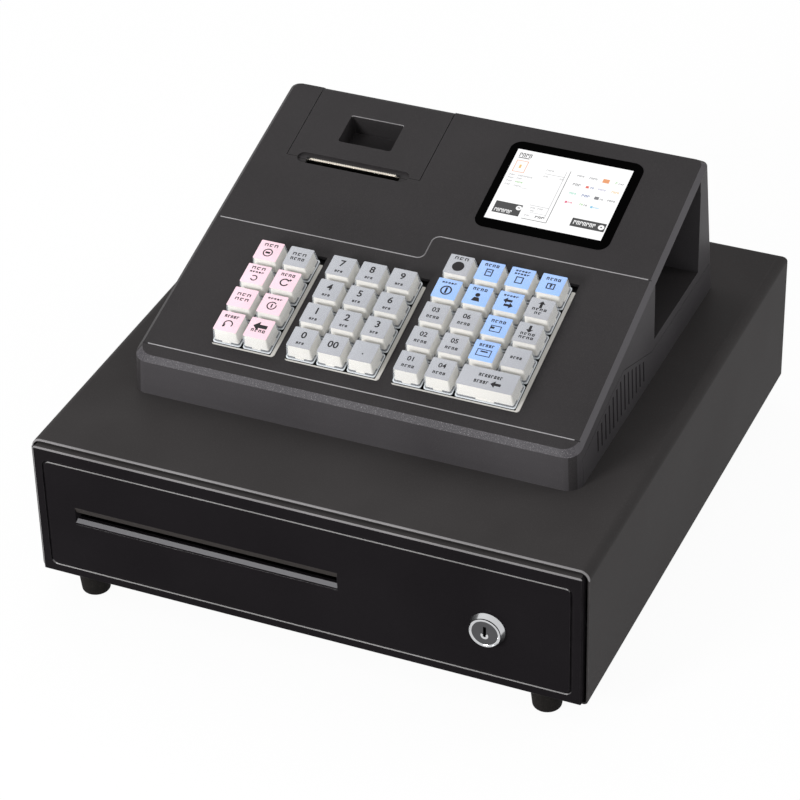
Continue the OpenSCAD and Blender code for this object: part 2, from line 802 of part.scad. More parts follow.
module register_base() {
    lip = wall + seam_gap;
    color([0.25, 0.24, 0.25]) {
        difference() {
            intersection() {
                register_solid(0, 0);
                below_seam(0);
            }
            register_solid(wall, wall);
            vent_slits();
            port_holes();
        }
        placed() translate([0, reg_front, reg_z])
            slab([-half_reg + lip + 0.5, half_reg - lip - 0.5], [lip + 0.5, split_y + reg_r],
                [0, wall], reg_r - wall);
        lower_posts();
        board_posts();
    }
}

// One key well through the deck
module key_well(x, s) {
    translate([0, 0, -wall - 1])
        linear_extrude(wall + 2)
            plate2d([x[0] - key_w / 2 - well_l, x[1] + key_w / 2 + well_r],
                [s[0] - key_w / 2 - well_f, s[1] + key_w / 2 + well_b], well_rad, 0.6);
}

// Grooves pressed into the deck: one in front of the keys, one stepped behind them
module deck_grooves() {
    x_end = deck_half + 0.5;
    depth = 0.6;
    w = 0.8;
    r = 4.5;
    translate([0, 0, -depth]) linear_extrude(depth + 1) {
        square_to([-x_end, x_end], [groove_s - w / 2, groove_s + w / 2]);
        square_to([-x_end, step_x - r], [step_s0 - w / 2, step_s0 + w / 2]);
        square_to([step_x + r, x_end], [step_s1 - w / 2, step_s1 + w / 2]);
        square_to([step_x - w / 2, step_x + w / 2], [step_s0 + r, step_s1 - r]);
        groove_bend([step_x - r, step_s0 + r], r, w, [1, -1]);
        groove_bend([step_x + r, step_s1 - r], r, w, [-1, 1]);
    }
}

// Quarter ring that turns a groove round a corner
module groove_bend(at, r, w, way) {
    translate(at) intersection() {
        difference() {
            circle(r = r + w / 2);
            circle(r = r - w / 2);
        }
        translate([way[0] > 0 ? 0 : -2 * r, way[1] > 0 ? 0 : -2 * r]) square(2 * r);
    }
}

// Side view of the open bay, grown by its wall
module bay_block(t, x0, x1, roof) {
    points = [[bay_y0 - t, bay_z - t], [bay_y1 + t, bay_z - t],
        [bay_y1 + t + bay_lean, deck_at(bay_y1 + t + bay_lean, -roof + t)],
        [bay_y0 - t + bay_lean / 2, deck_at(bay_y0 - t + bay_lean / 2, -roof + t)]];
    placed() translate([0, reg_front, reg_z]) prism_x(points, [x0, x1]);
}

// Space inside the bay: low under the display, open to the deck's edge at the mouth
module bay_space() {
    bay_block(0, bay_x0, half_reg + 5, bay_roof);
    bay_block(0, bay_x1, half_reg + 5, bay_lip);
}

// Opening for the printer cover, with its hinge and the paper slot
module printer_opening() {
    on_deck() {
        block([cover_x0 - cover_gap, cover_x1 + cover_gap],
            [cover_s - cover_gap, deck_len + 5], [-wall - 1.5, 1]);
        block([cover_mid - slot_half + 1.5, cover_mid + slot_half - 1.5],
            [paper_s, cover_s], [-wall - 1.5, 1]);
        translate([0, hinge_s, hinge_w])
            rod_x([cover_x0 - cover_gap, cover_x1 + cover_gap], barrel_r + play);
        translate([0, hinge_s, -wall - 1])
            block([cover_x0 - cover_gap, cover_x1 + cover_gap], [0, deck_len], [-2, 4]);
    }
}

// Rounded recess round the tear bar
module bar_recess(depth) {
    on_deck() slab([cover_mid - slot_half - slot_r, cover_mid + slot_half + slot_r],
        [slot_s - slot_r, slot_s + slot_r], [-depth, 1], slot_r - 0.01);
}

// Ears beside the cover, which hold the pins that the cover turns on
module hinge_ears() {
    on_deck() translate([0, hinge_s, hinge_w]) {
        rod_x([cover_x0 - cover_gap - 6, cover_x0 - cover_gap], barrel_r);
        rod_x([cover_x1 + cover_gap, cover_x1 + cover_gap + 6], barrel_r);
    }
}

module hinge_pins() {
    on_deck() translate([0, hinge_s, hinge_w]) {
        rod_x([cover_x0 - cover_gap - 1, cover_x0 + hinge_pin_l], hinge_pin_r);
        rod_x([cover_x1 - hinge_pin_l, cover_x1 + cover_gap + 1], hinge_pin_r);
    }
}

module register_top_case() {
    color([0.24, 0.23, 0.235]) {
        difference() {
            union() {
                difference() {
                    register_solid(0, 0);
                    register_solid(wall, -1);
                }
                intersection() {
                    register_solid(0, 0);
                    union() {
                        bay_block(bay_wall, bay_x0 - bay_wall, half_reg, bay_roof);
                        bay_block(bay_wall, bay_x1 - bay_wall, half_reg, bay_lip);
                        hinge_ears();
                    }
                }
            }
            below_seam(seam_gap);
            bay_space();
            on_deck() {
                key_well([left_x, left_x + pitch], [row_1, row_1 + 3 * pitch]);
                key_well([digit_x, digit_x + 2 * pitch], [row_1, row_1 + 3 * pitch]);
                key_well([right_x, right_x + 3 * pitch], [row_1, row_1 + 4 * pitch]);
                deck_grooves();
                slab([disp_x - disp_w / 2 - glass_gap, disp_x + disp_w / 2 + glass_gap],
                    [disp_s - disp_l / 2 - glass_gap, disp_s + disp_l / 2 + glass_gap],
                    [-glass_in, 1], disp_r);
                slab([disp_x - disp_w / 2 + ledge, disp_x + disp_w / 2 - ledge],
                    [disp_s - disp_l / 2 + ledge, disp_s + disp_l / 2 - ledge],
                    [-wall - 1, 1], 2);
            }
            printer_opening();
            bar_recess(bar_sink);
        }
        hinge_pins();
        upper_posts();
    }
}

// ---- keys ----

// Places of the keys: group, first column, columns and rows
LEFT = [left_x, 2, 4];
DIGIT = [digit_x, 3, 4];
RIGHT = [right_x, 4, 5];

// Outline of a group's well, grown outwards on each side
module well_outline(g, l, r, f, b, rad) {
    plate2d([g[0] - key_w / 2 - l, g[0] + (g[1] - 1) * pitch + key_w / 2 + r],
        [row_1 - key_w / 2 - f, row_1 + (g[2] - 1) * pitch + key_w / 2 + b], rad, 0.5);
}

// A square column of a given half width under every key of a group
module stem_columns(g, half, z) {
    for (i = [0:g[1] - 1], j = [0:g[2] - 1])
        translate([g[0] + i * pitch, row_1 + j * pitch, 0])
            block([-half, half], [-half, half], z);
}

module key_tray() {
    rim = 3;
    x = [left_x - key_w / 2 - well_l - rim, right_x + 3 * pitch + key_w / 2 + well_r + rim];
    s = [row_1 - key_w / 2 - well_f - rim, row_1 + 4 * pitch + key_w / 2 + well_b + rim];
    color([0.05, 0.05, 0.05]) on_deck() difference() {
        union() {
            slab(x, s, [-tray_top - tray_t, -tray_top], 3);
            difference() {
                slab(x, s, [-tray_top - 0.5, -wall], 3);
                slab([x[0] + 1.6, x[1] - 1.6], [s[0] + 1.6, s[1] - 1.6], [-tray_top - 1, 0], 1.5);
            }
            for (g = [LEFT, DIGIT, RIGHT])
                stem_columns(g, stem_w / 2 + stem_play + 1.2,
                    [-tray_top - tray_t - guide_l, -tray_top + 1.2]);
        }
        for (g = [LEFT, DIGIT, RIGHT])
            stem_columns(g, stem_w / 2 + stem_play, [-tray_top - tray_t - guide_l - 1, 0]);
    }
}

module key_frames() {
    color([0.78, 0.76, 0.73]) on_deck() for (g = [LEFT, DIGIT, RIGHT])
        translate([0, 0, -tray_top]) linear_extrude(tray_top + 0.3) difference() {
            well_outline(g, well_l - 0.1, well_r - 0.1, well_f - 0.1, well_b - rim_short, well_rad);
            well_outline(g, well_l + 5, play, play, well_b + 5, 0.5);
        }
}

// A block that tapers towards its top on all four sides
module tapered(w0, w1, l0, l1, z, r) {
    h = z[1] - z[0];
    intersection() {
        translate([0, l0, z[0]]) rotate([90, 0, 0]) linear_extrude(2 * l0)
            polygon([[-w0 / 2, 0], [w0 / 2, 0], [w1 / 2, h], [-w1 / 2, h]]);
        translate([-w0, 0, z[0]]) rotate([90, 0, 90]) linear_extrude(2 * w0)
            polygon([[-l0 / 2, 0], [l0 / 2, 0], [l1 / 2, h], [-l1 / 2, h]]);
        slab([-w0 / 2, w0 / 2], [-l0 / 2, l0 / 2], [z[0] - 1, z[1] + 1], r);
    }
}

// Key cap with its skirt, a shallow seat for the legend, and square stems
module key(x, s, wide, tint, stems) {
    body_w = key_w - 0.7;
    seat = 0.3;
    color(tint) on_deck() translate([x, s, 0]) {
        difference() {
            union() {
                slab([-wide / 2, wide / 2], [-key_w / 2, key_w / 2], [skirt_w0, skirt_w1], 1.6);
                tapered(wide - 0.7, wide - key_w + key_top_w, body_w, key_top_w,
                    [skirt_w1 - 0.1, key_h], 2.4);
            }
            slab([-(wide - key_w + key_top_w) / 2 + 0.7, (wide - key_w + key_top_w) / 2 - 0.7],
                [-key_top_w / 2 + 0.7, key_top_w / 2 - 0.7], [key_h - seat, key_h + 1], 1.2);
        }
        for (dx = stems) translate([dx, 0, 0])
            block([-stem_w / 2, stem_w / 2], [-stem_w / 2, stem_w / 2],
                [-stem_deep, skirt_w0 + 0.1]);
    }
}

// Row 1 is the rear one
function key_s(row, rows) = row_1 + (rows - row) * pitch;

module key_left(row, column) {
    tint = (column == 2 && row == 1) ? legend_grey : legend_pink;
    key(left_x + (column - 1) * pitch, key_s(row, 4), key_w, tint, [0]);
}

module key_digit(row, column) {
    key(digit_x + (column - 1) * pitch, key_s(row, 4), key_w, legend_grey, [0]);
}

module key_right(row, column) {
    blue = (row == 1 && column > 1) || (row == 2 && column < 4) || (column == 3 && row < 5);
    key(right_x + (column - 1) * pitch, key_s(row, 5), key_w,
        blue ? legend_blue : legend_grey, [0]);
}

module key_enter() {
    key(right_x + 2.5 * pitch, row_1, key_w + pitch, legend_grey, [-pitch / 2, pitch / 2]);
}

// ---- display ----

module display_window() {
    panel_in = ledge + 0.5;
    color([0.01, 0.01, 0.012]) on_deck() {
        slab([disp_x - disp_w / 2, disp_x + disp_w / 2], [disp_s - disp_l / 2, disp_s + disp_l / 2],
            [-glass_in, glass_proud], disp_r);
        slab([disp_x - disp_w / 2 + panel_in, disp_x + disp_w / 2 - panel_in],
            [disp_s - disp_l / 2 + panel_in, disp_s + disp_l / 2 - panel_in],
            [-panel_deep, -glass_in + 0.1], 1.5);
    }
}

// ---- printer ----

// Half pipe that the paper roll lies in
module bucket() {
    y0 = roll_y - bucket_r;
    y1 = roll_y + bucket_r;
    outer = bucket_r + bucket_t;
    placed() {
        difference() {
            union() {
                translate([0, roll_y, bucket_mid]) rod_x([x_end0, x_end1], outer);
                block([x_end0, x_end1], [y1 - 0.5, y1 + bucket_t], [bucket_mid, bucket_mid + 10]);
                block([x_end0, x_end1], [y0 - bucket_t, y0 + 0.5], [bucket_mid, head_z]);
            }
            translate([0, roll_y, bucket_mid])
                rod_x([x_end0 + bucket_t, x_end1 - bucket_t], bucket_r);
            block([x_end0 + bucket_t, x_end1 - bucket_t], [y0, y1],
                [bucket_mid, head_z + 30]);
            block([x_end0 - 1, x_end1 + 1], [y0 + 0.5, y1 - 0.5],
                [bucket_mid + 10, head_z + 30]);
        }
        for (x = [x_end0 + 4, x_end1 - 8], y = [roll_y - 14, roll_y + 10])
            block([x, x + 4], [y, y + 4], [reg_z + wall, bucket_mid - outer + 4]);
    }
}

module printer_mechanism() {
    color([0.12, 0.12, 0.12]) {
        bucket();
        on_deck() {
            block([x_end0, x_end1], [head_s0, head_s1], [head_w - 2.7, head_w]);
            for (x = [x_end0, x_end1 - 2]) block([x, x + 2], [head_s0, head_s1], [head_w - 8, head_w]);
        }
    }
    color([0.75, 0.72, 0.6]) on_deck()
        block([cover_mid - platen_half + 2, cover_mid + platen_half - 2],
            [platen_s - 2, platen_s + 2], [head_w - 0.1, head_w + 0.1]);
}

module paper_roll() {
    core_r = 6;
    color([0.96, 0.96, 0.95]) placed() translate([cover_mid, roll_y, roll_z]) difference() {
        rod_x([-roll_w / 2, roll_w / 2], roll_d / 2);
        rod_x([-roll_w / 2 - 1, roll_w / 2 + 1], core_r);
    }
}

module printer_cover() {
    x = [cover_x0, cover_x1];
    rib = 1.4;
    lug_x = platen_half + 1;
    color([0.24, 0.23, 0.235]) difference() {
        on_deck() {
            block(x, [cover_s, hinge_s], [-wall, 0]);
            translate([0, hinge_s, hinge_w]) rod_x(x, barrel_r);
            // Tub of the finger pocket
            slab([pocket_x - pocket_w / 2 - pocket_t, pocket_x + pocket_w / 2 + pocket_t],
                [pocket_s - pocket_l / 2 - pocket_t, pocket_s + pocket_l / 2 + pocket_t],
                [-pocket_deep - pocket_t, -0.1], 2.5);
            // Ribs along both sides
            for (k = [x[0] + 2, x[1] - 2 - rib])
                block([k, k + rib], [cover_s + 3, hinge_s - 2], [-wall - 3, -0.1]);
            // Lugs that carry the platen
            for (k = [cover_mid - lug_x - lug_t, cover_mid + lug_x]) {
                block([k, k + lug_t], [platen_s - 4, platen_s + 4], [platen_w, -0.1]);
                translate([0, platen_s, platen_w]) rod_x([k, k + lug_t], 4);
            }
        }
        on_deck() {
            slab([pocket_x - pocket_w / 2, pocket_x + pocket_w / 2],
                [pocket_s - pocket_l / 2, pocket_s + pocket_l / 2], [-pocket_deep, 1], 1.5);
            // Seat of the tear bar
            block([cover_mid - bar_len / 2 - 0.1, cover_mid + bar_len / 2 + 0.1],
                [cover_s - 1, bar_s + bar_t], [-wall - 1, 1]);
            translate([0, hinge_s, hinge_w]) {
                rod_x([x[0] - 1, x[0] + hinge_pin_l + 0.5], hinge_pin_r + shaft_play);
                rod_x([x[1] - hinge_pin_l - 0.5, x[1] + 1], hinge_pin_r + shaft_play);
            }
            translate([0, platen_s, platen_w])
                rod_x([cover_mid - lug_x - lug_t - 1, cover_mid + lug_x + lug_t + 1],
                    platen_shaft_r + shaft_play);
        }
        bar_recess(bar_sink);
    }
}

module tear_bar() {
    teeth = 40;
    tooth = bar_len / teeth;
    color([0.85, 0.86, 0.88]) on_deck() translate([cover_mid - bar_len / 2, bar_s + bar_t, 0])
        rotate([90, 0, 0]) linear_extrude(bar_t)
            polygon(concat([[0, -bar_drop], [bar_len, -bar_drop]],
                [for (i = [teeth:-1:0]) each (i == 0
                    ? [[0, -bar_top]]
                    : [[i * tooth, -bar_top], [(i - 0.5) * tooth, -bar_top - 0.6]])]));
}

module platen_roller() {
    color([0.1, 0.1, 0.1]) on_deck() translate([0, platen_s, platen_w]) {
        rod_x([cover_mid - platen_half, cover_mid + platen_half], platen_d / 2);
        rod_x([cover_mid - platen_half - 1 - lug_t - 1.5, cover_mid + platen_half + 1 + lug_t + 1.5],
            platen_shaft_r);
    }
}

// ---- electronics ----

// Places of the sockets on the main board: centre, width
PORTS = [[board_x0 + 14, 9], [board_x0 + 40, 14], [board_x0 + 66, 12]];

module port_holes() {
    placed() for (p = PORTS)
        block([p[0] - p[1] / 2 - play, p[0] + p[1] / 2 + play],
            [reg_back - 3 * wall, reg_back + 1],
            [board_z + board_t, board_z + board_t + port_h + play]);
}

module board_posts() {
    placed() for (x = [board_x0 + 5, board_x0 + board_w - 5], y = [board_y0 + 5, board_y1 - 22])
        translate([x, y, reg_z + wall - 0.5]) cylinder(h = board_z - reg_z - wall + 0.5, r = 3);
}

// Socket with a shallow mouth and its tongue
module board_socket(p) {
    z = [board_z + board_t, board_z + board_t + port_h];
    difference() {
        block([p[0] - p[1] / 2, p[0] + p[1] / 2], [board_y1 - 14, port_y], z);
        block([p[0] - p[1] / 2 + port_wall, p[0] + p[1] / 2 - port_wall],
            [port_y - port_deep, port_y + 1], [z[0] + port_wall, z[1] - port_wall]);
    }
    block([p[0] - p[1] / 4, p[0] + p[1] / 4], [port_y - port_deep - 0.5, port_y - 0.5],
        [z[0] + port_h / 2 - 0.8, z[0] + port_h / 2 + 0.8]);
}

// Flat chip on the board: left front corner, width, depth and height
module board_chip(x, y, w, d, h) {
    translate([board_x0 + x, board_y0 + y, board_z + board_t]) cube([w, d, h]);
}

module main_board() {
    placed() {
        color([0.05, 0.3, 0.15])
            block([board_x0, board_x0 + board_w], [board_y0, board_y1], [board_z, board_z + board_t]);
        color([0.1, 0.1, 0.1]) {
            for (p = PORTS) board_socket(p);
            board_chip(28, 14, 20, 20, 1.5);
            board_chip(58, 12, 12, 8, 1.2);
        }
    }
}

drawer_case();
rubber_feet();
case_runners();
latch_solenoid();
drawer_box();
drawer_fascia();
till_insert();
bill_clips();
lock_barrel();
lock_plug();
register_base();
register_top_case();
key_tray();
key_frames();
display_window();
main_board();
printer_mechanism();
paper_roll();
printer_cover();
tear_bar();
platen_roller();
key_left(1, 1);  // key_left_1_1
key_left(1, 2);  // key_left_1_2
key_left(2, 1);  // key_left_2_1
key_left(2, 2);  // key_left_2_2
key_left(3, 1);  // key_left_3_1
key_left(3, 2);  // key_left_3_2
key_left(4, 1);  // key_left_4_1
key_left(4, 2);  // key_left_4_2
key_digit(1, 1);  // key_digit_1_1
key_digit(1, 2);  // key_digit_1_2
key_digit(1, 3);  // key_digit_1_3
key_digit(2, 1);  // key_digit_2_1
key_digit(2, 2);  // key_digit_2_2
key_digit(2, 3);  // key_digit_2_3
key_digit(3, 1);  // key_digit_3_1
key_digit(3, 2);  // key_digit_3_2
key_digit(3, 3);  // key_digit_3_3
key_digit(4, 1);  // key_digit_4_1
key_digit(4, 2);  // key_digit_4_2
key_digit(4, 3);  // key_digit_4_3
key_right(1, 1);  // key_right_1_1
key_right(1, 2);  // key_right_1_2
key_right(1, 3);  // key_right_1_3
key_right(1, 4);  // key_right_1_4
key_right(2, 1);  // key_right_2_1
key_right(2, 2);  // key_right_2_2
key_right(2, 3);  // key_right_2_3
key_right(2, 4);  // key_right_2_4
key_right(3, 1);  // key_right_3_1
key_right(3, 2);  // key_right_3_2
key_right(3, 3);  // key_right_3_3
key_right(3, 4);  // key_right_3_4
key_right(4, 1);  // key_right_4_1
key_right(4, 2);  // key_right_4_2
key_right(4, 3);  // key_right_4_3
key_right(4, 4);  // key_right_4_4
key_right(5, 1);  // key_right_5_1
key_right(5, 2);  // key_right_5_2
key_enter();
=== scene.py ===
# %% [markdown]
# # A ticket register
# A small cash register stands on its own steel cash drawer. The construction comes as a packed
# model: every piece is already there at its real size. This script gives each piece its finish,
# breaks its edges, and adds what only the eye needs, such as legends and the picture on the
# display. Nothing is moved or resized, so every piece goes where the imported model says.

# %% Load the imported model
import json
import math

import bmesh
import bpy
from mathutils import Matrix, Vector


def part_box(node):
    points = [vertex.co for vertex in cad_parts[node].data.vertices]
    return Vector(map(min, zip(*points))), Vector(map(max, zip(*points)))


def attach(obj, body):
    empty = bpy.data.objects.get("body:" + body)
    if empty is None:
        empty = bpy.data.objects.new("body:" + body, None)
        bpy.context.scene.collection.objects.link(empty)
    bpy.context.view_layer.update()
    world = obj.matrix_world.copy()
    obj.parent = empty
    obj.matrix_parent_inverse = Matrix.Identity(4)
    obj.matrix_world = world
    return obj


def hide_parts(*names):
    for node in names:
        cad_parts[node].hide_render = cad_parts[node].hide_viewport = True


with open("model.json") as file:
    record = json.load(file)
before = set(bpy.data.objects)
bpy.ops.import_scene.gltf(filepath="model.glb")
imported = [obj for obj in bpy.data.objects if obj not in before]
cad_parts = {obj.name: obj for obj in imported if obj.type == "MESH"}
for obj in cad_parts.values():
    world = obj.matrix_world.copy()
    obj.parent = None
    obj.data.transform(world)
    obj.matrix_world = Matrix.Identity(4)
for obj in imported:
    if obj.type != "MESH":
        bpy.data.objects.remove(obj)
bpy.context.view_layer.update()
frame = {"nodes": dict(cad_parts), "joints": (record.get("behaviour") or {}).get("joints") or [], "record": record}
nodes = frame["nodes"]
scene = bpy.context.scene
MM = 0.001
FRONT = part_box("drawer_fascia")[0].y  # face of the drawer's front
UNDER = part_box("drawer_case")[0].z  # underside of the housing

# %% [markdown]
# ## The sloping deck
# Keys, display and printer cover lie on a deck that slopes up towards the back. Everything on it
# is easier to place in the deck's own directions: across, up the slope, and out of the deck. The
# keys travel straight into the deck, so their joint's axis gives the slope, and no angle is typed.

# %% Deck directions
press = next(joint for joint in frame["joints"] if joint["name"] == "press_enter")
DECK_SLOPE = math.atan2(press["axis"][1], -press["axis"][2])
DECK_EDGE = Vector((0, FRONT + 68.5 * MM, UNDER + 115.5 * MM))  # deck's front edge, in the middle
deck_place = Matrix.Translation(DECK_EDGE) @ Matrix.Rotation(DECK_SLOPE, 4, "X")
deck_back = deck_place.inverted()


def deck_box(node):
    """Lowest and highest corner of a node, measured across, up and out of the deck."""
    points = [deck_back @ vertex.co for vertex in nodes[node].data.vertices]
    lowest = Vector([min(point[axis] for point in points) for axis in range(3)])
    highest = Vector([max(point[axis] for point in points) for axis in range(3)])
    return lowest, highest


print("slope of the deck", round(math.degrees(DECK_SLOPE), 2), "degrees")

# %% [markdown]
# ## The camera
# The view comes from the front right, from well above the object, through a long lens: the
# parallel edges of the drawer hardly run together. A camera looks along its own -Z, so one turn
# about the vertical, one down and a small roll give its direction.

# %% Camera
VIEW_FROM = Vector((0.6310, FRONT - 1.2632, UNDER + 1.1327))
VIEW_AZIMUTH = math.radians(24.528)
VIEW_ELEVATION = math.radians(34.386)
VIEW_ROLL = math.radians(-1.648)
camera_data = bpy.data.cameras.new("camera")
camera_data.sensor_width = 36
camera_data.lens = 143.17
camera_data.shift_x = 0.0189
camera_data.shift_y = -0.0104
camera = bpy.data.objects.new("camera", camera_data)
scene.collection.objects.link(camera)
camera.matrix_world = (
    Matrix.Translation(VIEW_FROM)
    @ Matrix.Rotation(VIEW_AZIMUTH, 4, "Z")
    @ Matrix.Rotation(math.pi / 2 - VIEW_ELEVATION, 4, "X")
    @ Matrix.Rotation(VIEW_ROLL, 4, "Z")
)
scene.camera = camera
scene.view_settings.view_transform = "Standard"
print("camera lens", camera_data.lens)

# %% [markdown]
# ## Small helpers for shaders
# A material is a net of small nodes. One helper adds a node and fills its sockets, either with a
# plain value or with another node's output, so that a finish reads as a short list.


# %% Shader helpers
def new_material(name):
    """A new material, its tree and its Principled shader."""
    material = bpy.data.materials.new(name)
    material.use_nodes = True
    tree = material.node_tree
    return material, tree, tree.nodes["Principled BSDF"]


def srgb(red, green, blue):
    """A colour as a screen shows it, 0 to 255, in the linear values that a shader takes."""
    parts = [value / 255 for value in (red, green, blue)]
    return [part / 12.92 if part <= 0.04045 else ((part + 0.055) / 1.055) ** 2.4 for part in parts] + [1]


def fill(tree, node, sockets):
    """Fills sockets of a node, each with a value or with another node's output."""
    for name, value in sockets.items():
        if isinstance(value, bpy.types.NodeSocket):
            tree.links.new(value, node.inputs[name])
        else:
            node.inputs[name].default_value = value
    return node


def wire(tree, kind, sockets=None, **settings):
    """Adds one shader node and fills its sockets."""
    made = tree.nodes.new("ShaderNode" + kind)
    for name, value in settings.items():
        setattr(made, name, value)
    return fill(tree, made, sockets or {})


def mixed(tree, factor, one, other):
    """Two colours mixed by a factor."""
    sockets = {"Factor": factor, "A": one, "B": other}
    return wire(tree, "Mix", sockets, data_type="RGBA").outputs["Result"]


def maths(tree, operation, one, other):
    """Two numbers combined, such as by MULTIPLY or MAXIMUM."""
    return wire(tree, "Math", {0: one, 1: other}, operation=operation).outputs[0]


def mapped(tree, value, old=(0, 1), new=(0, 1)):
    """A number carried over from one span to another."""
    sockets = {"Value": value, "From Min": old[0], "From Max": old[1], "To Min": new[0], "To Max": new[1]}
    return wire(tree, "MapRange", sockets).outputs[0]


def noise(tree, place, scale, detail, roughness=0.5):
    """Random hills."""
    sockets = {"Vector": place, "Scale": scale, "Detail": detail, "Roughness": roughness}
    return wire(tree, "TexNoise", sockets).outputs["Fac"]


def bumped(tree, height, depth, strength):
    """A normal that leans with a height."""
    sockets = {"Height": height, "Distance": depth, "Strength": strength}
    return wire(tree, "Bump", sockets).outputs["Normal"]


def new_group(name, inputs, outputs):
    """An empty shader group with named number inputs and named outputs."""
    tree = bpy.data.node_groups.new(name, "ShaderNodeTree")
    for label, value in inputs.items():
        socket = tree.interface.new_socket(label, in_out="INPUT", socket_type="NodeSocketFloat")
        socket.default_value = value
    for label in outputs:
        tree.interface.new_socket(label, in_out="OUTPUT", socket_type="NodeSocketFloat")
    return tree, tree.nodes.new("NodeGroupInput").outputs, tree.nodes.new("NodeGroupOutput")


def use_group(tree, group, **values):
    """Places a group in a material with its own values, and gives its outputs."""
    return wire(tree, "Group", values, node_tree=group).outputs


# %% [markdown]
# ## Grain, shared by every moulded and painted surface
# Moulded plastic copies the spark-eroded steel of its mould, and powder paint melts into a skin
# like fine orange peel. Both are small random hills, so one group makes them from noise. It also
# gives a slow tone over the whole piece and a few pale flecks, which keep a dark surface alive.

# %% Grain group
grain_group, group_in, group_out = new_group(
    "grain", {"Scale": 900.0, "Fleck": 0.2}, ["Height", "Tone", "Fleck"])
place = wire(grain_group, "TexCoord").outputs["Object"]
hills = noise(grain_group, place, group_in["Scale"], 3.0, 0.62)
tone = mapped(grain_group, noise(grain_group, place, 16.0, 2.0), (0.32, 0.68))
finer = maths(grain_group, "MULTIPLY", group_in["Scale"], 1.9)
dots = mapped(grain_group, noise(grain_group, place, finer, 1.0), (0.6, 0.72))
fleck = maths(grain_group, "MULTIPLY", dots, group_in["Fleck"])
fill(grain_group, group_out, {"Height": hills, "Tone": tone, "Fleck": fleck})
print("grain group has", len(grain_group.nodes), "nodes")

# %% [markdown]
# ## Wear along edges
# Hands and cloths polish an edge first. A Bevel node gives the normal that a rounded edge would
# have: where it differs from the true normal, there is an edge. Broken up with noise, the
# difference becomes a mask of worn places.

# %% Edge wear group
wear_group, group_in, group_out = new_group("edge_wear", {"Radius": 0.0006, "Amount": 0.3}, ["Mask"])
rounded = wire(wear_group, "Bevel", {"Radius": group_in["Radius"]}, samples=4)
surface = wire(wear_group, "NewGeometry")
same = wire(wear_group, "VectorMath",
            {0: rounded.outputs["Normal"], 1: surface.outputs["Normal"]}, operation="DOT_PRODUCT")
edge = mapped(wear_group, same.outputs["Value"], (0.995, 0.9))
place = wire(wear_group, "TexCoord").outputs["Object"]
spots = mapped(wear_group, noise(wear_group, place, 160.0, 3.0), (0.35, 0.7))
worn = maths(wear_group, "MULTIPLY", edge, spots)
fill(wear_group, group_out, {"Mask": maths(wear_group, "MULTIPLY", worn, group_in["Amount"])})
print("edge wear group has", len(wear_group.nodes), "nodes")

# %% [markdown]
# ## Brushed and drawn metal
# Rolled or turned steel shows fine lines along one direction. Noise that is stretched more than a
# hundred times along an axis makes them.

# %% Brush group
brush_group, group_in, group_out = new_group(
    "brushed", {"Across": 2500.0, "Along": 20.0}, ["Height", "Tone"])
place = wire(brush_group, "TexCoord").outputs["Object"]
stretch = wire(brush_group, "CombineXYZ",
               {"X": group_in["Along"], "Y": group_in["Across"], "Z": group_in["Across"]})
scaled = wire(brush_group, "VectorMath", {0: place, 1: stretch.outputs[0]}, operation="MULTIPLY")
lines = noise(brush_group, scaled.outputs[0], 1.0, 2.0)
clouds = noise(brush_group, place, 60.0, 2.0)
fill(brush_group, group_out, {"Height": lines, "Tone": clouds})
print("brush group has", len(brush_group.nodes), "nodes")


# %% [markdown]
# ## One recipe for grained surfaces
# Paint, plastic and rubber differ in colour, grain and gloss, but they are made alike: two close
# tones mixed by the slow noise, flecks and wear laid over, and the grain as bump. Each finish
# below calls this recipe with its own values.

# %% Grained finish
def grained(name, dark, light, grain, depth, rough, fleck=0.2, wear=0.3, worn=(120, 118, 118),
            shine=0.08):
    """A material with grain. Colours are 0 to 255, depth is in metres, rough is two ends."""
    material, tree, shader = new_material(name)
    skin = use_group(tree, grain_group, Scale=grain, Fleck=fleck)
    edges = use_group(tree, wear_group, Amount=wear)
    toned = mixed(tree, skin["Tone"], srgb(*dark), srgb(*light))
    flecked = mixed(tree, skin["Fleck"], toned, srgb(*worn))
    fill(tree, shader, {"Base Color": mixed(tree, edges["Mask"], flecked, srgb(*worn)),
                        "Roughness": mapped(tree, skin["Tone"], new=rough),
                        "Normal": bumped(tree, skin["Height"], depth, 0.6),
                        "Specular IOR Level": shine})
    return material


# %% [markdown]
# ## Painted steel
# The drawer's housing is bent sheet steel with a charcoal powder coat, matt with a fine peel. The
# drawer front is the same steel with a smoother, darker paint. Its edges and the lips of its groove
# get paler copies of the paint, as painted highlights, and the slot's mouth gets painted light and shade.

# %% Paints
powder_coat = grained("powder_coat", (54, 52, 52), (59, 57, 57), 900.0, 0.00002, (0.4, 0.48),
                      fleck=0.08, shine=0.012)
# A paler copy of the paint for chosen edges: a painted highlight.
polished_edge = grained("polished_edge", (116, 114, 115), (128, 126, 127), 1400.0, 0.00001, (0.26, 0.32))
# A still paler copy for the upward walls of the groove: a painted highlight.
bright_lip = grained("bright_lip", (186, 184, 184), (204, 202, 202), 1400.0, 0.00001, (0.26, 0.32))
fascia_coat = grained("fascia_coat", (21, 19, 21), (24, 22, 24), 1400.0, 0.00001, (0.28, 0.34),
                      fleck=0.03, wear=0.1, shine=0.012)
# A lit and a shaded copy of one grey for the slot's mouth: painted light and painted shade.
slot_light = grained("slot_light", (76, 75, 78), (84, 83, 86), 1400.0, 0.00001, (0.3, 0.36), wear=0.1)
slot_shade = grained("slot_shade", (34, 30, 28), (38, 34, 32), 1400.0, 0.00001, (0.3, 0.36), wear=0.1)
tray_steel = grained("tray_steel", (84, 84, 86), (96, 96, 98), 900.0, 0.00003, (0.45, 0.55))
print("materials so far", len(bpy.data.materials))
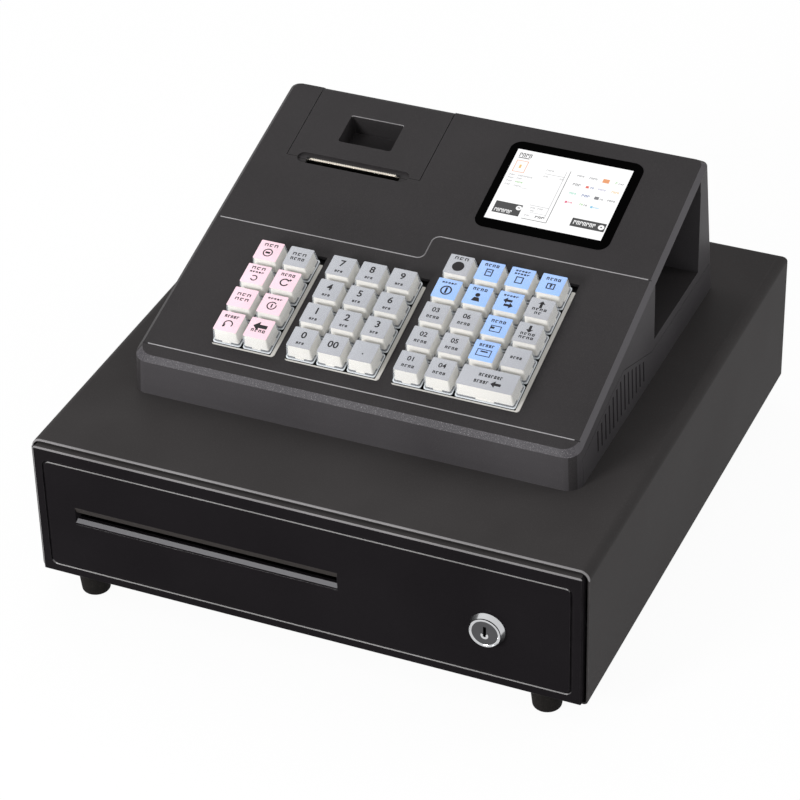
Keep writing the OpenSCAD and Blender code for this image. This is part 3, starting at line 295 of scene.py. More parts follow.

# %% [markdown]
# ## Moulded plastics
# The register's cases are charcoal ABS with a spark-eroded grain finer than the powder coat. Base
# and top are two mouldings of one plastic. The base and the top case's upright walls take a lighter
# copy, painted light, and its lip, right chamfer and grooves take paler ones, painted highlights.
# The grey in each key's gap is painted shade. The till insert and the parts inside are plain black,
# and the trim round the keys is warm grey.

# %% Plastics
case_plastic = grained("case_plastic", (45, 43, 44), (50, 48, 49), 2200.0, 0.00003, (0.38, 0.46),
                       wear=0.15, shine=0.06)
# A lighter copy of the case plastic: painted light.
base_plastic = grained("base_plastic", (60, 58, 60), (66, 64, 66), 2200.0, 0.00003, (0.38, 0.46),
                       wear=0.15, shine=0.06)
# Paler copies of the case plastic for the chamfers: painted highlights, the front one with pale flecks as painted
# glints.
case_edge = grained("case_edge", (76, 74, 77), (83, 81, 84), 2200.0, 0.00002, (0.32, 0.4), wear=0.15)
case_lip = grained("case_lip", (66, 64, 67), (74, 72, 75), 1300.0, 0.00004, (0.3, 0.38), fleck=0.8,
                   worn=(140, 138, 141))
# A pale grey for the groove fillets: a painted highlight.
groove_light = grained("groove_light", (150, 148, 150), (166, 164, 166), 2200.0, 0.00001, (0.3, 0.36))
till_plastic = grained("till_plastic", (26, 26, 27), (32, 32, 33), 1500.0, 0.00004, (0.4, 0.5))
tray_plastic = grained("tray_plastic", (14, 14, 15), (20, 20, 21), 1500.0, 0.00002, (0.45, 0.55))
frame_plastic = grained("frame_plastic", (190, 187, 182), (202, 199, 194), 2200.0, 0.00002,
                        (0.35, 0.45), fleck=0.05, wear=0.1, worn=(232, 230, 226))
# A grey for the shade in the gap under each key's cap: painted shade.
gap_plastic = grained("gap_plastic", (104, 105, 108), (116, 117, 120), 1500.0, 0.00002, (0.4, 0.5))
foot_rubber = grained("foot_rubber", (16, 15, 14), (24, 22, 21), 1200.0, 0.00006, (0.7, 0.85),
                      fleck=0.4, wear=0.5, worn=(70, 66, 62))
platen_rubber = grained("platen_rubber", (20, 20, 21), (28, 28, 29), 2600.0, 0.00003, (0.6, 0.7))
ticket_paper = grained("ticket_paper", (226, 226, 222), (236, 236, 232), 3000.0, 0.00001,
                       (0.7, 0.8), fleck=0.1, wear=0.0, worn=(210, 208, 200))


# %% [markdown]
# ## Bare metals
# Metal has no colour of its own under its reflection, so the base colour is the reflection's tint
# and the finish lies in the roughness and the fine lines.

# %% Metal finish
def brushed(name, colour, rough, across=2500.0, along=20.0, depth=0.00001):
    """A metal with fine lines along X."""
    material, tree, shader = new_material(name)
    lines = use_group(tree, brush_group, Across=across, Along=along)
    darker = [value * 0.82 for value in colour]
    fill(tree, shader, {"Base Color": mixed(tree, lines["Tone"], srgb(*darker), srgb(*colour)),
                        "Roughness": mapped(tree, lines["Height"], new=rough),
                        "Normal": bumped(tree, lines["Height"], depth, 0.5),
                        "Metallic": 1.0})
    return material


zinc_steel = brushed("zinc_steel", (205, 206, 208), (0.28, 0.42))
latch_steel = brushed("latch_steel", (190, 186, 160), (0.3, 0.45))
lock_chrome = brushed("lock_chrome", (225, 226, 228), (0.08, 0.16), across=600.0, along=600.0)
plug_steel = brushed("plug_steel", (92, 92, 94), (0.25, 0.35), across=600.0, along=600.0)
tear_steel = brushed("tear_steel", (240, 232, 220), (0.12, 0.26))


# %% [markdown]
# ## Glass, board and the lit screen
# The display is a black glass with a lit panel under it. The panel glows a little, like a real
# backlight, so that it stays white wherever the light comes from.

# %% Glass, board and light
def glossy(name, colour, rough, shine=0.5):
    """A smooth material whose gloss varies a little, as if it had been wiped."""
    material, tree, shader = new_material(name)
    skin = use_group(tree, grain_group, Scale=500.0, Fleck=0.0)
    lighter = [min(255, value * 1.04 + 1) for value in colour]
    fill(tree, shader, {"Base Color": mixed(tree, skin["Tone"], srgb(*colour), srgb(*lighter)),
                        "Roughness": mapped(tree, skin["Tone"], new=(rough, rough * 1.5)),
                        "Specular IOR Level": shine})
    return material


def glowing(name, colour, strength):
    """A lit part of the screen's picture."""
    material = glossy(name, [value * 0.3 for value in colour], 0.25)
    tree = material.node_tree
    fill(tree, tree.nodes["Principled BSDF"],
         {"Emission Color": srgb(*colour), "Emission Strength": strength})
    return material


display_glass = glossy("display_glass", (1, 1, 1), 0.2, shine=0.005)
board = glossy("board", (22, 84, 48), 0.35)
ivory = glossy("key_ivory", (231, 227, 220), 0.3, shine=0.3)
milky = glossy("key_rim", (226, 230, 234), 0.2)
legend_grey = glossy("legend_grey", (168, 168, 173), 0.42, shine=0.2)
legend_pink = glossy("legend_pink", (250, 208, 219), 0.42, shine=0.2)
legend_blue = glossy("legend_blue", (146, 186, 243), 0.42, shine=0.2)
ink = glossy("ink", (34, 32, 34), 0.5, shine=0.2)

# %% [markdown]
# ## Clear key caps
# Each key wears a clear cap over its paper legend. Real refraction in a wall this thin mostly
# costs time, so the cap is a glossy skin that is nearly see-through when seen straight on and
# closes towards its rim, where clear plastic looks milky.

# %% Clear plastic
clear_plastic, tree, shader = new_material("clear_plastic")
skin = use_group(tree, grain_group, Scale=700.0, Fleck=0.0)
facing = wire(tree, "LayerWeight", {"Blend": 0.35}).outputs["Facing"]
fill(tree, shader, {"Base Color": mixed(tree, skin["Tone"], srgb(222, 230, 238), srgb(230, 236, 242)),
                    "Alpha": mapped(tree, facing, new=(0.06, 0.6)),
                    "Roughness": 0.08})
print("materials", len(bpy.data.materials))

# %% [markdown]
# ## Breaking the edges
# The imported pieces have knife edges, and no real edge is one: paint rounds it, a mould needs a
# radius. A copy of a node's mesh is welded, and a bevel runs along each edge that turns sharply.
# Weighted normals keep the large faces flat. The copy then stands for the node.

# %% Pieces with broken edges
record_slot = {part["node"]: part["material_slot"] for part in frame["record"]["subparts"]}
body_of = {node: body for body, members in frame["record"]["behaviour"]["bodies"].items()
           for node in members}
WELD = 0.002 * MM
BEVEL_FROM = math.radians(32)


def add_piece(name, mesh, material, node, replace=False):
    """Puts a mesh into the scene as a piece that moves with a node's body."""
    mesh.materials.clear()
    mesh.materials.append(material)
    piece = bpy.data.objects.new(name, mesh)
    scene.collection.objects.link(piece)
    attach(piece, body_of[node])
    if replace:
        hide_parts(node)
    return piece


def built(name, solids, material, node, replace=False, looped=False, sharp=None):
    """A piece of one or more solids, each a list of rings of points.

    A looped solid joins its last ring to its first, and the others have end caps. With sharp,
    the piece is smooth except at edges that turn by more than that angle in degrees.
    """
    work = bmesh.new()
    for points in solids:
        rings = [[work.verts.new(point) for point in ring] for ring in points]
        for one, two in zip(rings, rings[1:] + (rings[:1] if looped else [])):
            for index in range(len(one)):
                after = (index + 1) % len(one)
                work.faces.new([one[index], one[after], two[after], two[index]])
        if not looped:
            work.faces.new(reversed(rings[0]))
            work.faces.new(rings[-1])
    bmesh.ops.recalc_face_normals(work, faces=work.faces)
    mesh = bpy.data.meshes.new(name)
    work.to_mesh(mesh)
    work.free()
    piece = add_piece(name, mesh, material, node, replace)
    if sharp:
        for polygon in mesh.polygons:
            polygon.use_smooth = True
        mesh.set_sharp_from_angle(angle=math.radians(sharp))
    return piece


def soften(piece, width, segments=2):
    """Bevels the sharp edges and evens out the normals."""
    for polygon in piece.data.polygons:
        polygon.use_smooth = True
    bevel = piece.modifiers.new("broken_edges", "BEVEL")
    bevel.width = width
    bevel.segments = segments
    bevel.limit_method = "ANGLE"
    bevel.angle_limit = BEVEL_FROM
    bevel.miter_outer = "MITER_ARC"
    normals = piece.modifiers.new("even_normals", "WEIGHTED_NORMAL")
    normals.keep_sharp = True
    return piece


def round_edges(work, chosen, radius):
    """Rounds the edges that pass a test, and gives the new faces' places in the mesh."""
    edges = [edge for edge in work.edges if len(edge.link_faces) == 2 and chosen(edge)]
    made = bmesh.ops.bevel(work, geom=edges, offset=radius, segments=3, profile=0.5, affect="EDGES",
                           clamp_overlap=True)
    work.faces.index_update()
    return [face.index for face in made["faces"]]


def refined(node, material, width=0.3 * MM, segments=2, rim=None, radius=0.8 * MM, rim_material=None):
    """A piece with broken edges that stands for a node. Edges that pass rim get a radius."""
    mesh = nodes[node].data.copy()
    work = bmesh.new()
    work.from_mesh(mesh)
    bmesh.ops.remove_doubles(work, verts=work.verts, dist=WELD)
    rim_faces = round_edges(work, rim, radius) if rim else []
    work.to_mesh(mesh)
    work.free()
    piece = add_piece(node + "_shell", mesh, material, node, replace=True)
    if rim_faces:
        mesh.materials.append(rim_material)
        for index in rim_faces:
            mesh.polygons[index].material_index = 1
        print(node, "has", len(rim_faces), "faces round its rim")
    return soften(piece, width, segments)


def tint(piece, material, chosen):
    """Gives the faces that pass a test, by centre and normal, another material: a finish of their own, or painted
    light, shade or highlight.
    """
    index = len(piece.data.materials)
    piece.data.materials.append(material)
    faces = [polygon for polygon in piece.data.polygons if chosen(polygon.center, polygon.normal)]
    for polygon in faces:
        polygon.material_index = index
    print(piece.name, "has", len(faces), "faces of", material.name)


# %% [markdown]
# ## The drawer
# Housing, feet, front, tray and till insert keep the imported shapes. Folded sheet steel has small
# edge radii, a moulded till larger ones. The housing's front edge is the one that everybody
# touches, so it gets a radius of its own, with a painted highlight. The drawer's front has painted
# highlights on its chamfer at the top and left and on the upward walls of its groove, and its top
# face is painted lighter, as if lit. The slot's slopes differ in tone: painted light on the one that
# faces up, painted shade on the one that faces down.

# %% Drawer pieces
case_low, case_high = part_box("drawer_case")
case_middle = (case_low + case_high) / 2
front_low, front_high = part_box("drawer_fascia")
LIP = 1.3 * MM  # how deep the lips with painted highlights reach into the drawer's front


def front_rim(edge):
    """True for the outer upper edges round the housing's mouth."""
    if max(vertex.co.y for vertex in edge.verts) > case_low.y + 0.1 * MM:
        return False
    middle = (edge.verts[0].co + edge.verts[1].co) / 2
    outward = [face.normal for face in edge.link_faces if abs(face.normal.y) < 0.1]
    return bool(outward) and outward[0].dot(middle - case_middle) > 0 and outward[0].z > 0.2


# The housing's rounded front edge gets a painted highlight.
refined("drawer_case", powder_coat, 0.3 * MM, rim=front_rim, radius=0.9 * MM,
        rim_material=polished_edge)
refined("rubber_feet", foot_rubber, 0.4 * MM)
drawer_front = refined("drawer_fascia", fascia_coat, 0.15 * MM)
# The upward walls of the groove in the drawer's front get a painted highlight.
tint(drawer_front, bright_lip, lambda at, normal: at.y < FRONT + LIP and normal.z > 0.9)
# The top and left chamfers of the drawer's front get a painted highlight.
tint(drawer_front, polished_edge, lambda at, normal: at.y < FRONT + LIP and abs(normal.y) < 0.9
     and (0.5 < normal.z < 0.9 or (normal.x < -0.6 and at.x < front_low.x + LIP)))
# The top face of the drawer's front takes the housing's lighter paint: painted light over its dark paint.
tint(drawer_front, powder_coat, lambda at, normal: at.z > front_high.z - 0.1 * MM)

# %% [markdown]
# ## The media slot's bezel
# Cheques are posted through a slot in the drawer's front. Its mouth is pressed inwards: a steep
# sill below, whose upward faces get painted light, and a flatter lintel above, painted as shade. Each
# is a bar along the slot. Where the slot lies comes from the opening that the record states.

# %% Slot bezel
slot_box = next(opening["box_m"] for opening in frame["record"]["physics"]["openings"]
                if opening["name"] == "media_slot")
SLOT_ENDS = (slot_box[0][0] - 3 * MM, slot_box[1][0] + 3 * MM)
SLOT_MIDDLE = (slot_box[0][2] + slot_box[1][2]) / 2
SLOT_HALF = 2.3 * MM  # half the slot's own height
MOUTH_HALF = 5.9 * MM  # half the height of the pressed mouth


def bar_along_x(name, x_ends, section, material, node):
    """A bar along X, from its section in (depth behind the drawer's front, height)."""
    rings = [[(x, FRONT + y, z) for y, z in section] for x in x_ends]
    return built(name, [rings], material, node)


lintel = [(0.03 * MM, SLOT_MIDDLE + MOUTH_HALF), (1.0 * MM, SLOT_MIDDLE + SLOT_HALF),
          (3.2 * MM, SLOT_MIDDLE + SLOT_HALF), (3.2 * MM, SLOT_MIDDLE + MOUTH_HALF)]
# The lintel is painted shade all over.
bar_along_x("slot_lintel", SLOT_ENDS, lintel, slot_shade, "drawer_fascia")
sill = [(0.03 * MM, SLOT_MIDDLE - MOUTH_HALF), (0.03 * MM, SLOT_MIDDLE - 2 * SLOT_HALF),
        (1.5 * MM, SLOT_MIDDLE - SLOT_HALF), (3.2 * MM, SLOT_MIDDLE - SLOT_HALF),
        (3.2 * MM, SLOT_MIDDLE - MOUTH_HALF)]
slot_sill = bar_along_x("slot_sill", SLOT_ENDS, sill, fascia_coat, "drawer_fascia")
# The sill's upward faces near the front get painted light.
tint(slot_sill, slot_light, lambda at, normal: normal.z > 0.3 and at.y < FRONT + 1.5 * MM)
for node, finish, edge_mm in (
        ("drawer_box", tray_steel, 0.3), ("till_insert", till_plastic, 0.5),
        ("case_runners", zinc_steel, 0.2), ("latch_solenoid", latch_steel, 0.3),
        ("bill_clips", zinc_steel, 0.2), ("lock_plug", plug_steel, 0.2)):
    refined(node, finish, edge_mm * MM)

# %% [markdown]
# ## The lock's bezel
# The turned bezel is a body of revolution: a cone that catches the light from the front, a step,
# and a lip round the plug. Its radii are shares of its foot's radius, and its heights are shares
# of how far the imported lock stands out.

# %% Lock bezel
lock_low, lock_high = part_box("lock_barrel")
plug_low, plug_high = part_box("lock_plug")
LOCK_R = 10.8 * MM  # the cone's foot is a little wider than the barrel that it hides
LOCK_OUT = FRONT - lock_low.y  # how far the lock stands out of the drawer's front
BORE_R = (plug_high.x - plug_low.x) / 2 + 0.06 * MM
lock_centre = Vector(((lock_low.x + lock_high.x) / 2, FRONT, (lock_low.z + lock_high.z) / 2))


def turned(name, profile, centre, material, node, replace=False, steps=64):
    """A body of revolution about Y from (y, radius) points, open at the bore."""
    angles = [2 * math.pi * k / steps for k in range(steps)]
    rings = [[centre + Vector((radius * math.cos(angle), y, radius * math.sin(angle)))
              for angle in angles] for y, radius in profile]
    return built(name, [rings], material, node, replace, looped=True, sharp=25)


bezel = [(0.0, 1.0), (-0.14, 1.0), (-0.2, 0.985), (-0.74, 0.84), (-0.76, 0.86), (-0.94, 0.86),
         (-1.0, 0.835), (-1.0, 0.8), (-0.95, 0.785), (-0.95, 0.75)]
profile = [(share_y * LOCK_OUT, share_r * LOCK_R) for share_y, share_r in bezel]
body = [(-0.9 * LOCK_OUT, BORE_R), (20 * MM, BORE_R), (20 * MM, 0.8 * LOCK_R), (0, 0.8 * LOCK_R)]
turned("lock_barrel_bezel", profile + body, lock_centre, lock_chrome, "lock_barrel", replace=True)
print("lock stands out", round(LOCK_OUT / MM, 1), "mm")

# %% [markdown]
# ## The register
# The two moulded cases get a slightly larger radius than the steel. The base and the upright walls
# of the top case take a lighter copy of its plastic, which is painted light. Its front lip and right
# chamfer take paler copies still, painted highlights. The rear edge of the cover's finger pocket is
# rounded for the finger and has a painted highlight.

# %% Register pieces
deck_turn = deck_back.to_3x3()
cover_low, cover_high = deck_box("printer_cover")


def pocket_rim(edge):
    """True for the upper edge of the finger pocket's rear wall."""
    ends = [deck_back @ vertex.co for vertex in edge.verts]
    if min(end.z for end in ends) < cover_high.z - 0.1 * MM:
        return False
    if min(end.y for end in ends) < cover_low.y + 5 * MM:
        return False
    return any((deck_turn @ face.normal).y < -0.5 for face in edge.link_faces)


# The base takes the lighter copy of the case plastic: painted light.
refined("register_base", base_plastic, 0.4 * MM)
top_case = refined("register_top_case", case_plastic, 0.3 * MM)
# The upright walls of the top case take the lighter copy: painted light.
tint(top_case, base_plastic, lambda at, normal: normal.y < -0.9 or normal.x > 0.8)
# The front chamfer gets a painted highlight.
tint(top_case, case_lip, lambda at, normal: -0.9 < normal.y < -0.42 and normal.z > 0.3)
# The right chamfer gets a painted highlight.
tint(top_case, case_edge, lambda at, normal: 0.4 < normal.x < 0.8 and normal.z > 0.15)
# The rounded rear rim of the finger pocket gets a painted highlight.
refined("printer_cover", case_plastic, 0.3 * MM, rim=pocket_rim, radius=0.4 * MM,
        rim_material=polished_edge)
refined("key_tray", tray_plastic, 0.2 * MM)
refined("key_frames", frame_plastic, 0.15 * MM)
refined("display_window", display_glass, 0.25 * MM, 3)
board_low, board_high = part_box("main_board")
SOCKETS = (2.5 * MM, 15 * MM)  # the sockets rise from the board and lie along its rear edge
main_board = refined("main_board", board, 0.1 * MM)
tint(main_board, zinc_steel, lambda at, normal: at.z > board_low.z + SOCKETS[0]
     and at.y > board_high.y - SOCKETS[1])
for node, finish, edge_mm in (
        ("printer_mechanism", tray_plastic, 0.3), ("paper_roll", ticket_paper, 0.2),
        ("tear_bar", tear_steel, 0.1), ("platen_roller", platen_rubber, 0.3)):
    refined(node, finish, edge_mm * MM)

# %% [markdown]
# ## Lofted forms on the deck
# A key is a stack of rounded squares that grow or shrink with height. One helper joins such rings
# into a closed solid, in the deck's directions, and then lays it onto the deck.


# %% Rounded rings and lofts
def rounded_ring(half_x, half_s, radius, height, steps=4):
    """Points of a rounded rectangle round the middle, at one height."""
    ring = []
    for corner, (side_x, side_s) in enumerate([(1, 1), (-1, 1), (-1, -1), (1, -1)]):
        for step in range(steps + 1):
            angle = (corner + step / steps) * math.pi / 2
            ring.append(Vector((side_x * (half_x - radius) + radius * math.cos(angle),
                                side_s * (half_s - radius) + radius * math.sin(angle), height)))
    return ring


def loft(name, rings, centre, material, node, replace=False):
    """A closed solid through a stack of rings, laid onto the deck round a centre."""
    place = deck_place @ Matrix.Translation(centre)
    placed = [[place @ point for point in ring] for ring in rings]
    return built(name, [placed], material, node, replace, sharp=40)


# %% [markdown]
# ## Light in the deck's grooves
# The rear wall of each groove ends in a small fillet in a pale grey, a painted highlight that draws
# a bright line. It is a thin bar with a triangular section, swept along the groove and round its bends.

# %% Groove fillets
GROOVE_HALF = 0.4 * MM
GROOVE_FLOOR = -0.6 * MM


def bend(centre, radius, start, stop, steps=8):
    """Points of an arc on the deck, by angles in degrees."""
    angles = [math.radians(start + (stop - start) * k / steps) for k in range(steps + 1)]
    return [Vector((centre[0] + radius * math.cos(angle), centre[1] + radius * math.sin(angle)))
            for angle in angles]


def swept(name, path, section, material, node):
    """A bar along a path on the deck. The section is (to the path's left, out of the deck)."""
    rings = []
    for index, point in enumerate(path):
        before, after = path[max(index - 1, 0)], path[min(index + 1, len(path) - 1)]
        along = (after - before).normalized()
        left = Vector((-along.y, along.x))
        rings.append([deck_place @ Vector((*(point + left * side), height)) for side, height in section])
    return built(name, [rings], material, node)


deck_high = deck_box("register_top_case")[1]
DECK_HALF = deck_high.x - 6.6 * MM
STEP_X = -0.6 * MM  # where the rear groove steps up the deck, between printer and display
BEND_R = 4.5 * MM
FRONT_GROOVE, LEFT_GROOVE, RIGHT_GROOVE = 11.8 * MM, 115.6 * MM, 134.6 * MM
front_path = [Vector((-DECK_HALF, FRONT_GROOVE)), Vector((DECK_HALF, FRONT_GROOVE))]
rear_path = [Vector((-DECK_HALF, LEFT_GROOVE))]
rear_path += bend((STEP_X - BEND_R, LEFT_GROOVE + BEND_R), BEND_R, -90, 0)
rear_path += bend((STEP_X + BEND_R, RIGHT_GROOVE - BEND_R), BEND_R, 180, 90)
rear_path += [Vector((DECK_HALF, RIGHT_GROOVE))]
fillet = [(GROOVE_HALF, -0.03 * MM), (GROOVE_HALF, GROOVE_FLOOR), (-0.1 * MM, GROOVE_FLOOR)]
# Both fillets carry the painted highlight.
swept("groove_fillet_front", front_path, fillet, groove_light, "register_top_case")
swept("groove_fillet_rear", rear_path, fillet, groove_light, "register_top_case")
print("deck is", round(2 * DECK_HALF / MM), "mm wide at its grooves")

# %% [markdown]
# ## Legends
# Digits come from Blender's own font, turned into flat meshes. The other keys carry plain signs,
# such as arrows, rings and bars, drawn as polygons in a square from -1 to 1.

# %% Signs for the legends
def bar(x0, s0, x1, s1):
    """A rectangle between two corners."""
    return [(x0, s0), (x1, s0), (x1, s1), (x0, s1)]


def arrow(angle, size=0.5, centre=(0, 0)):
    """An arrow that points along an angle in degrees."""
    outline = [(1, 0), (0.15, 0.8), (0.15, 0.3), (-1, 0.3), (-1, -0.3), (0.15, -0.3), (0.15, -0.8)]
    turn = Matrix.Rotation(math.radians(angle), 2)
    return [tuple(turn @ Vector(point) * size + Vector(centre)) for point in outline]


def marks(s, count=4, height=0.28, half=0.64, line=0.075, middle=0.0):
    """A row of small open shapes, such as a line of small print looks from afar."""
    step = 2 * half / count
    strokes = []
    for k in range(count):
        x0, x1, top = middle - half + step * (k + 0.14), middle - half + step * (k + 0.84), s + height
        strokes.append(bar(x0, s, x0 + line, top))
        strokes.append(bar(x0 + line, top - line, x1, top))
        if k % 3 != 1:
            strokes.append(bar(x1 - line, s, x1, top - line))
        if k % 2:
            strokes.append(bar(x0 + line, s, x1 - line, s + line))
    return strokes


def ring_sign(centre, outer, inner, start=0, stop=360, steps=20):
    """A ring, or a piece of one, as small quads."""
    quads = []
    for k in range(steps):
        a, b = [math.radians(start + (stop - start) * (k + end) / steps) for end in (0, 1)]
        quads.append([(centre[0] + radius * math.cos(angle), centre[1] + radius * math.sin(angle))
                      for radius, angle in ((inner, a), (outer, a), (outer, b), (inner, b))])
    return quads


def frame_sign(x0, s0, x1, s1, line=0.09):
    """The outline of a rectangle."""
    return [bar(x0, s0, x1, s0 + line), bar(x0, s1 - line, x1, s1),
            bar(x0, s0, x0 + line, s1), bar(x1 - line, s0, x1, s1)]


def flat_piece(name, polygons, place, thickness, material, node):
    """Thin raised shapes from outlines in the place's own plane."""
    solids = [[[place @ Vector((x, s, height)) for x, s in outline] for height in (0, thickness)]
              for outline in polygons]
    return built(name, solids, material, node)


def digits_piece(name, text, size, place, thickness, material, node):
    """Digits from the built-in font as a thin mesh."""
    curve = bpy.data.curves.new(name, "FONT")
    curve.body = text
    curve.size = size
    curve.align_x = "CENTER"
    curve.align_y = "CENTER"
    curve.extrude = thickness / 2
    curve.resolution_u = 3
    curve.offset = size * 0.02
    letters = bpy.data.objects.new(name + "_text", curve)
    scene.collection.objects.link(letters)
    bpy.context.view_layer.update()
    mesh = bpy.data.meshes.new_from_object(letters.evaluated_get(bpy.context.evaluated_depsgraph_get()))
    bpy.data.objects.remove(letters)
    mesh.transform(place @ Matrix.Translation((0, 0, thickness / 2)))
    return add_piece(name, mesh, material, node)


# %% [markdown]
# ## The keys
# Every key is an ivory block in a clear cap, over a milky rim and a grey band of painted shade where
# the gap lies, with a legend card and its print on top. Its outline and its height come from the
# imported key, and each layer says how far it stays inside that outline.

# %% Key makers
SKIRT, FLANGE, FOOT = 0.6, 1.5, 2.1  # heights of the skirt, its top and the block's foot, in mm
BODY_IN, TOP_IN = 0.35, 1.3  # how much narrower a key is over its skirt and at its top, in mm
CAP_WALL, CARD_IN, CARD_T, PRINT_T = 0.55, 0.22, 0.22, 0.04  # in mm
SIGNS = {
    "left_1_1": marks(0.45, 3) + ring_sign((0, -0.2), 0.42, 0.32) + [bar(-0.2, -0.3, 0.2, -0.1)],
    "left_1_2": marks(0.15, 3) + marks(-0.35, 4),
    "left_2_1": marks(0.5, 3) + marks(0.15, 5, 0.16) + ring_sign((0, -0.4), 0.3, 0.2, 200, 500),
    "left_2_2": marks(0.45, 4) + ring_sign((0, -0.2), 0.4, 0.28, 30, 340)
                + [arrow(20, 0.18, (0.35, 0.1))],
    "left_3_1": marks(0.2, 3) + marks(-0.3, 3),
    "left_3_2": marks(0.5, 5, 0.16) + ring_sign((0, -0.15), 0.42, 0.32, 40, 380)
                + [bar(-0.06, -0.35, 0.06, 0.05)],
    "left_4_1": marks(0.4, 5) + ring_sign((0, -0.25), 0.4, 0.3, -30, 230)
                + [arrow(250, 0.18, (-0.3, -0.45))],
    "left_4_2": [arrow(180, 0.6, (0, 0.2))] + marks(-0.4, 4),
    "right_1_1": marks(0.55, 3) + ring_sign((0, -0.15), 0.5, 0.0),
    "right_1_2": marks(0.5, 4) + frame_sign(-0.3, -0.5, 0.3, 0.25) + [bar(-0.15, -0.1, 0.15, 0)],
    "right_1_3": marks(0.6, 5, 0.16) + marks(0.3, 5, 0.16) + frame_sign(-0.35, -0.6, 0.3, 0.1),
    "right_1_4": marks(0.4, 4) + frame_sign(-0.35, -0.5, 0.35, 0.1) + [arrow(90, 0.2, (0, -0.15))],
    "right_2_1": marks(0.55, 5, 0.16) + ring_sign((0, -0.15), 0.48, 0.36) + [bar(-0.08, -0.45, 0.08, 0.15)],
    "right_2_2": marks(0.5, 4) + ring_sign((0, 0.05), 0.2, 0.0)
                 + [[(-0.35, -0.6), (0.35, -0.6), (0.2, -0.2), (-0.2, -0.2)]],
    "right_2_3": [arrow(180, 0.38, (-0.1, 0.12)), arrow(0, 0.38, (0.1, -0.35))] + marks(0.55, 5, 0.16),
    "right_2_4": [arrow(90, 0.36, (0, 0.42))] + marks(-0.22, 4, 0.24) + marks(-0.6, 2, 0.24, 0.32),
    "right_3_3": marks(0.35, 4) + frame_sign(-0.45, -0.6, 0.45, 0.05, 0.07)
                 + [bar(-0.38, -0.3, -0.1, -0.1)],
    "right_3_4": [arrow(270, 0.36, (0, 0.42))] + marks(-0.22, 4, 0.24) + marks(-0.6, 4, 0.24),
    "right_4_3": marks(0.4, 5) + frame_sign(-0.6, -0.55, 0.6, 0.15, 0.07)
                 + [bar(-0.3, -0.15, 0.3, -0.02)],
    "right_4_4": marks(-0.12, 4, 0.24, 0.5),
    "enter": marks(0.18, 8, 0.3, 1.0, middle=0.1) + marks(-0.5, 5, 0.3, 0.62, middle=-0.45)
             + [arrow(180, 0.42, (0.75, -0.35))],
}
DIGITS = {"digit_4_1": "0", "digit_4_2": "00", "digit_4_3": "."}
DIGITS.update({f"digit_{row}_{column}": str(3 * (3 - row) + column)
               for row in (1, 2, 3) for column in (1, 2, 3)})
DIGITS.update({f"right_{5 - k % 3}_{1 + k // 3}": f"0{k + 1}" for k in range(6)})
BARE = ("digit_4_2", "digit_4_3")  # digits with nothing under them
LEGENDS = {"key_pink": legend_pink, "key_blue": legend_blue, "key_grey": legend_grey}


def make_key(node):
    """Rim, block, clear cap, card and print of one key."""
    low, high = deck_box(node)
    half_x, half_s, top = (high.x - low.x) / 2, (high.y - low.y) / 2, high.z / MM
    centre = Vector(((low.x + high.x) / 2, (low.y + high.y) / 2, 0))

    def layer(kind, material, rows, replace=False):
        """A loft through rows of (how far inside the skirt, corner radius, height), in mm."""
        rings = [rounded_ring(half_x - inset * MM, half_s - inset * MM, radius * MM, height * MM)
                 for inset, radius, height in rows]
        loft(node + kind, rings, centre, material, node, replace)

    def level(height):
        """The key's own plane at a height in mm over the deck."""
        return deck_place @ Matrix.Translation(centre + Vector((0, 0, height * MM)))

    block_in, card_in = TOP_IN + CAP_WALL, TOP_IN + CARD_IN
    layer("_rim", milky, [(0.05, 1.3, SKIRT), (0.05, 1.3, FLANGE - 0.4)], replace=True)
    # The gap layer is painted shade seen through the clear cap.
    layer("_gap", gap_plastic, [(0.6, 1.4, SKIRT), (0.6, 1.4, FLANGE - 0.2)])
    layer("_block", ivory, [(BODY_IN + CAP_WALL + 0.2, 1.2, FOOT), (block_in, 0.9, top - 1.0),
                            (block_in + 0.3, 0.7, top - 0.4)])
    # Tabs under the middle of each side, which hold the block in its cap
    tab_x, tab_s = half_x - (BODY_IN + 0.3) * MM, half_s - (BODY_IN + 0.3) * MM
    flat_piece(node + "_tabs", [bar(-0.3 * half_x, -tab_s, 0.3 * half_x, tab_s),
                                bar(-tab_x, -0.3 * half_s, tab_x, 0.3 * half_s)],
               level(SKIRT), (FOOT - SKIRT + 0.2) * MM, ivory, node)
    layer("_cap", clear_plastic, [
        (0, 1.3, SKIRT), (0, 1.3, FLANGE), (BODY_IN, 1.3, FLANGE), (TOP_IN, 1.0, top - 0.6),
        (TOP_IN + 0.1, 0.95, top - 0.15), (TOP_IN + 0.35, 0.8, top - 0.03)])
    layer("_card", LEGENDS[record_slot[node]],
          [(card_in, 0.5, top - CARD_T), (card_in, 0.5, top - PRINT_T)])
    name = node[len("key_"):]
    right = name.startswith("right")
    surface, thick = level(top - PRINT_T), PRINT_T * MM
    if name in DIGITS:
        size, up = (4.7, 2.3) if right else (6.6, 2.0)
        place = surface @ Matrix.Translation((0, 0 if name in BARE else up * MM, 0))
        digits_piece(node + "_digits", DIGITS[name], size * MM, place, thick, ink, node)
    small_print = marks(-0.55, 4, 0.26, 0.56) if right else marks(-0.66, 3, 0.22, 0.36)
    signs = SIGNS.get(name, [] if name in BARE else small_print)
    if signs:
        unit = half_s - card_in * MM
        flat_piece(node + "_print", signs, surface @ Matrix.Scale(unit, 4), thick / unit, ink, node)


key_nodes = [node for node in nodes if node.startswith("key_") and body_of[node] == node]
for key_node in key_nodes:
    make_key(key_node)
print("keys made", len(key_nodes))

# %% [markdown]
# ## Small parts of lock and printer
# A hardened guard of bright steel lies round the lower half of the keyhole, and the tear bar ends
# in two dark sockets. Both are thin shapes, drawn as the legends are.

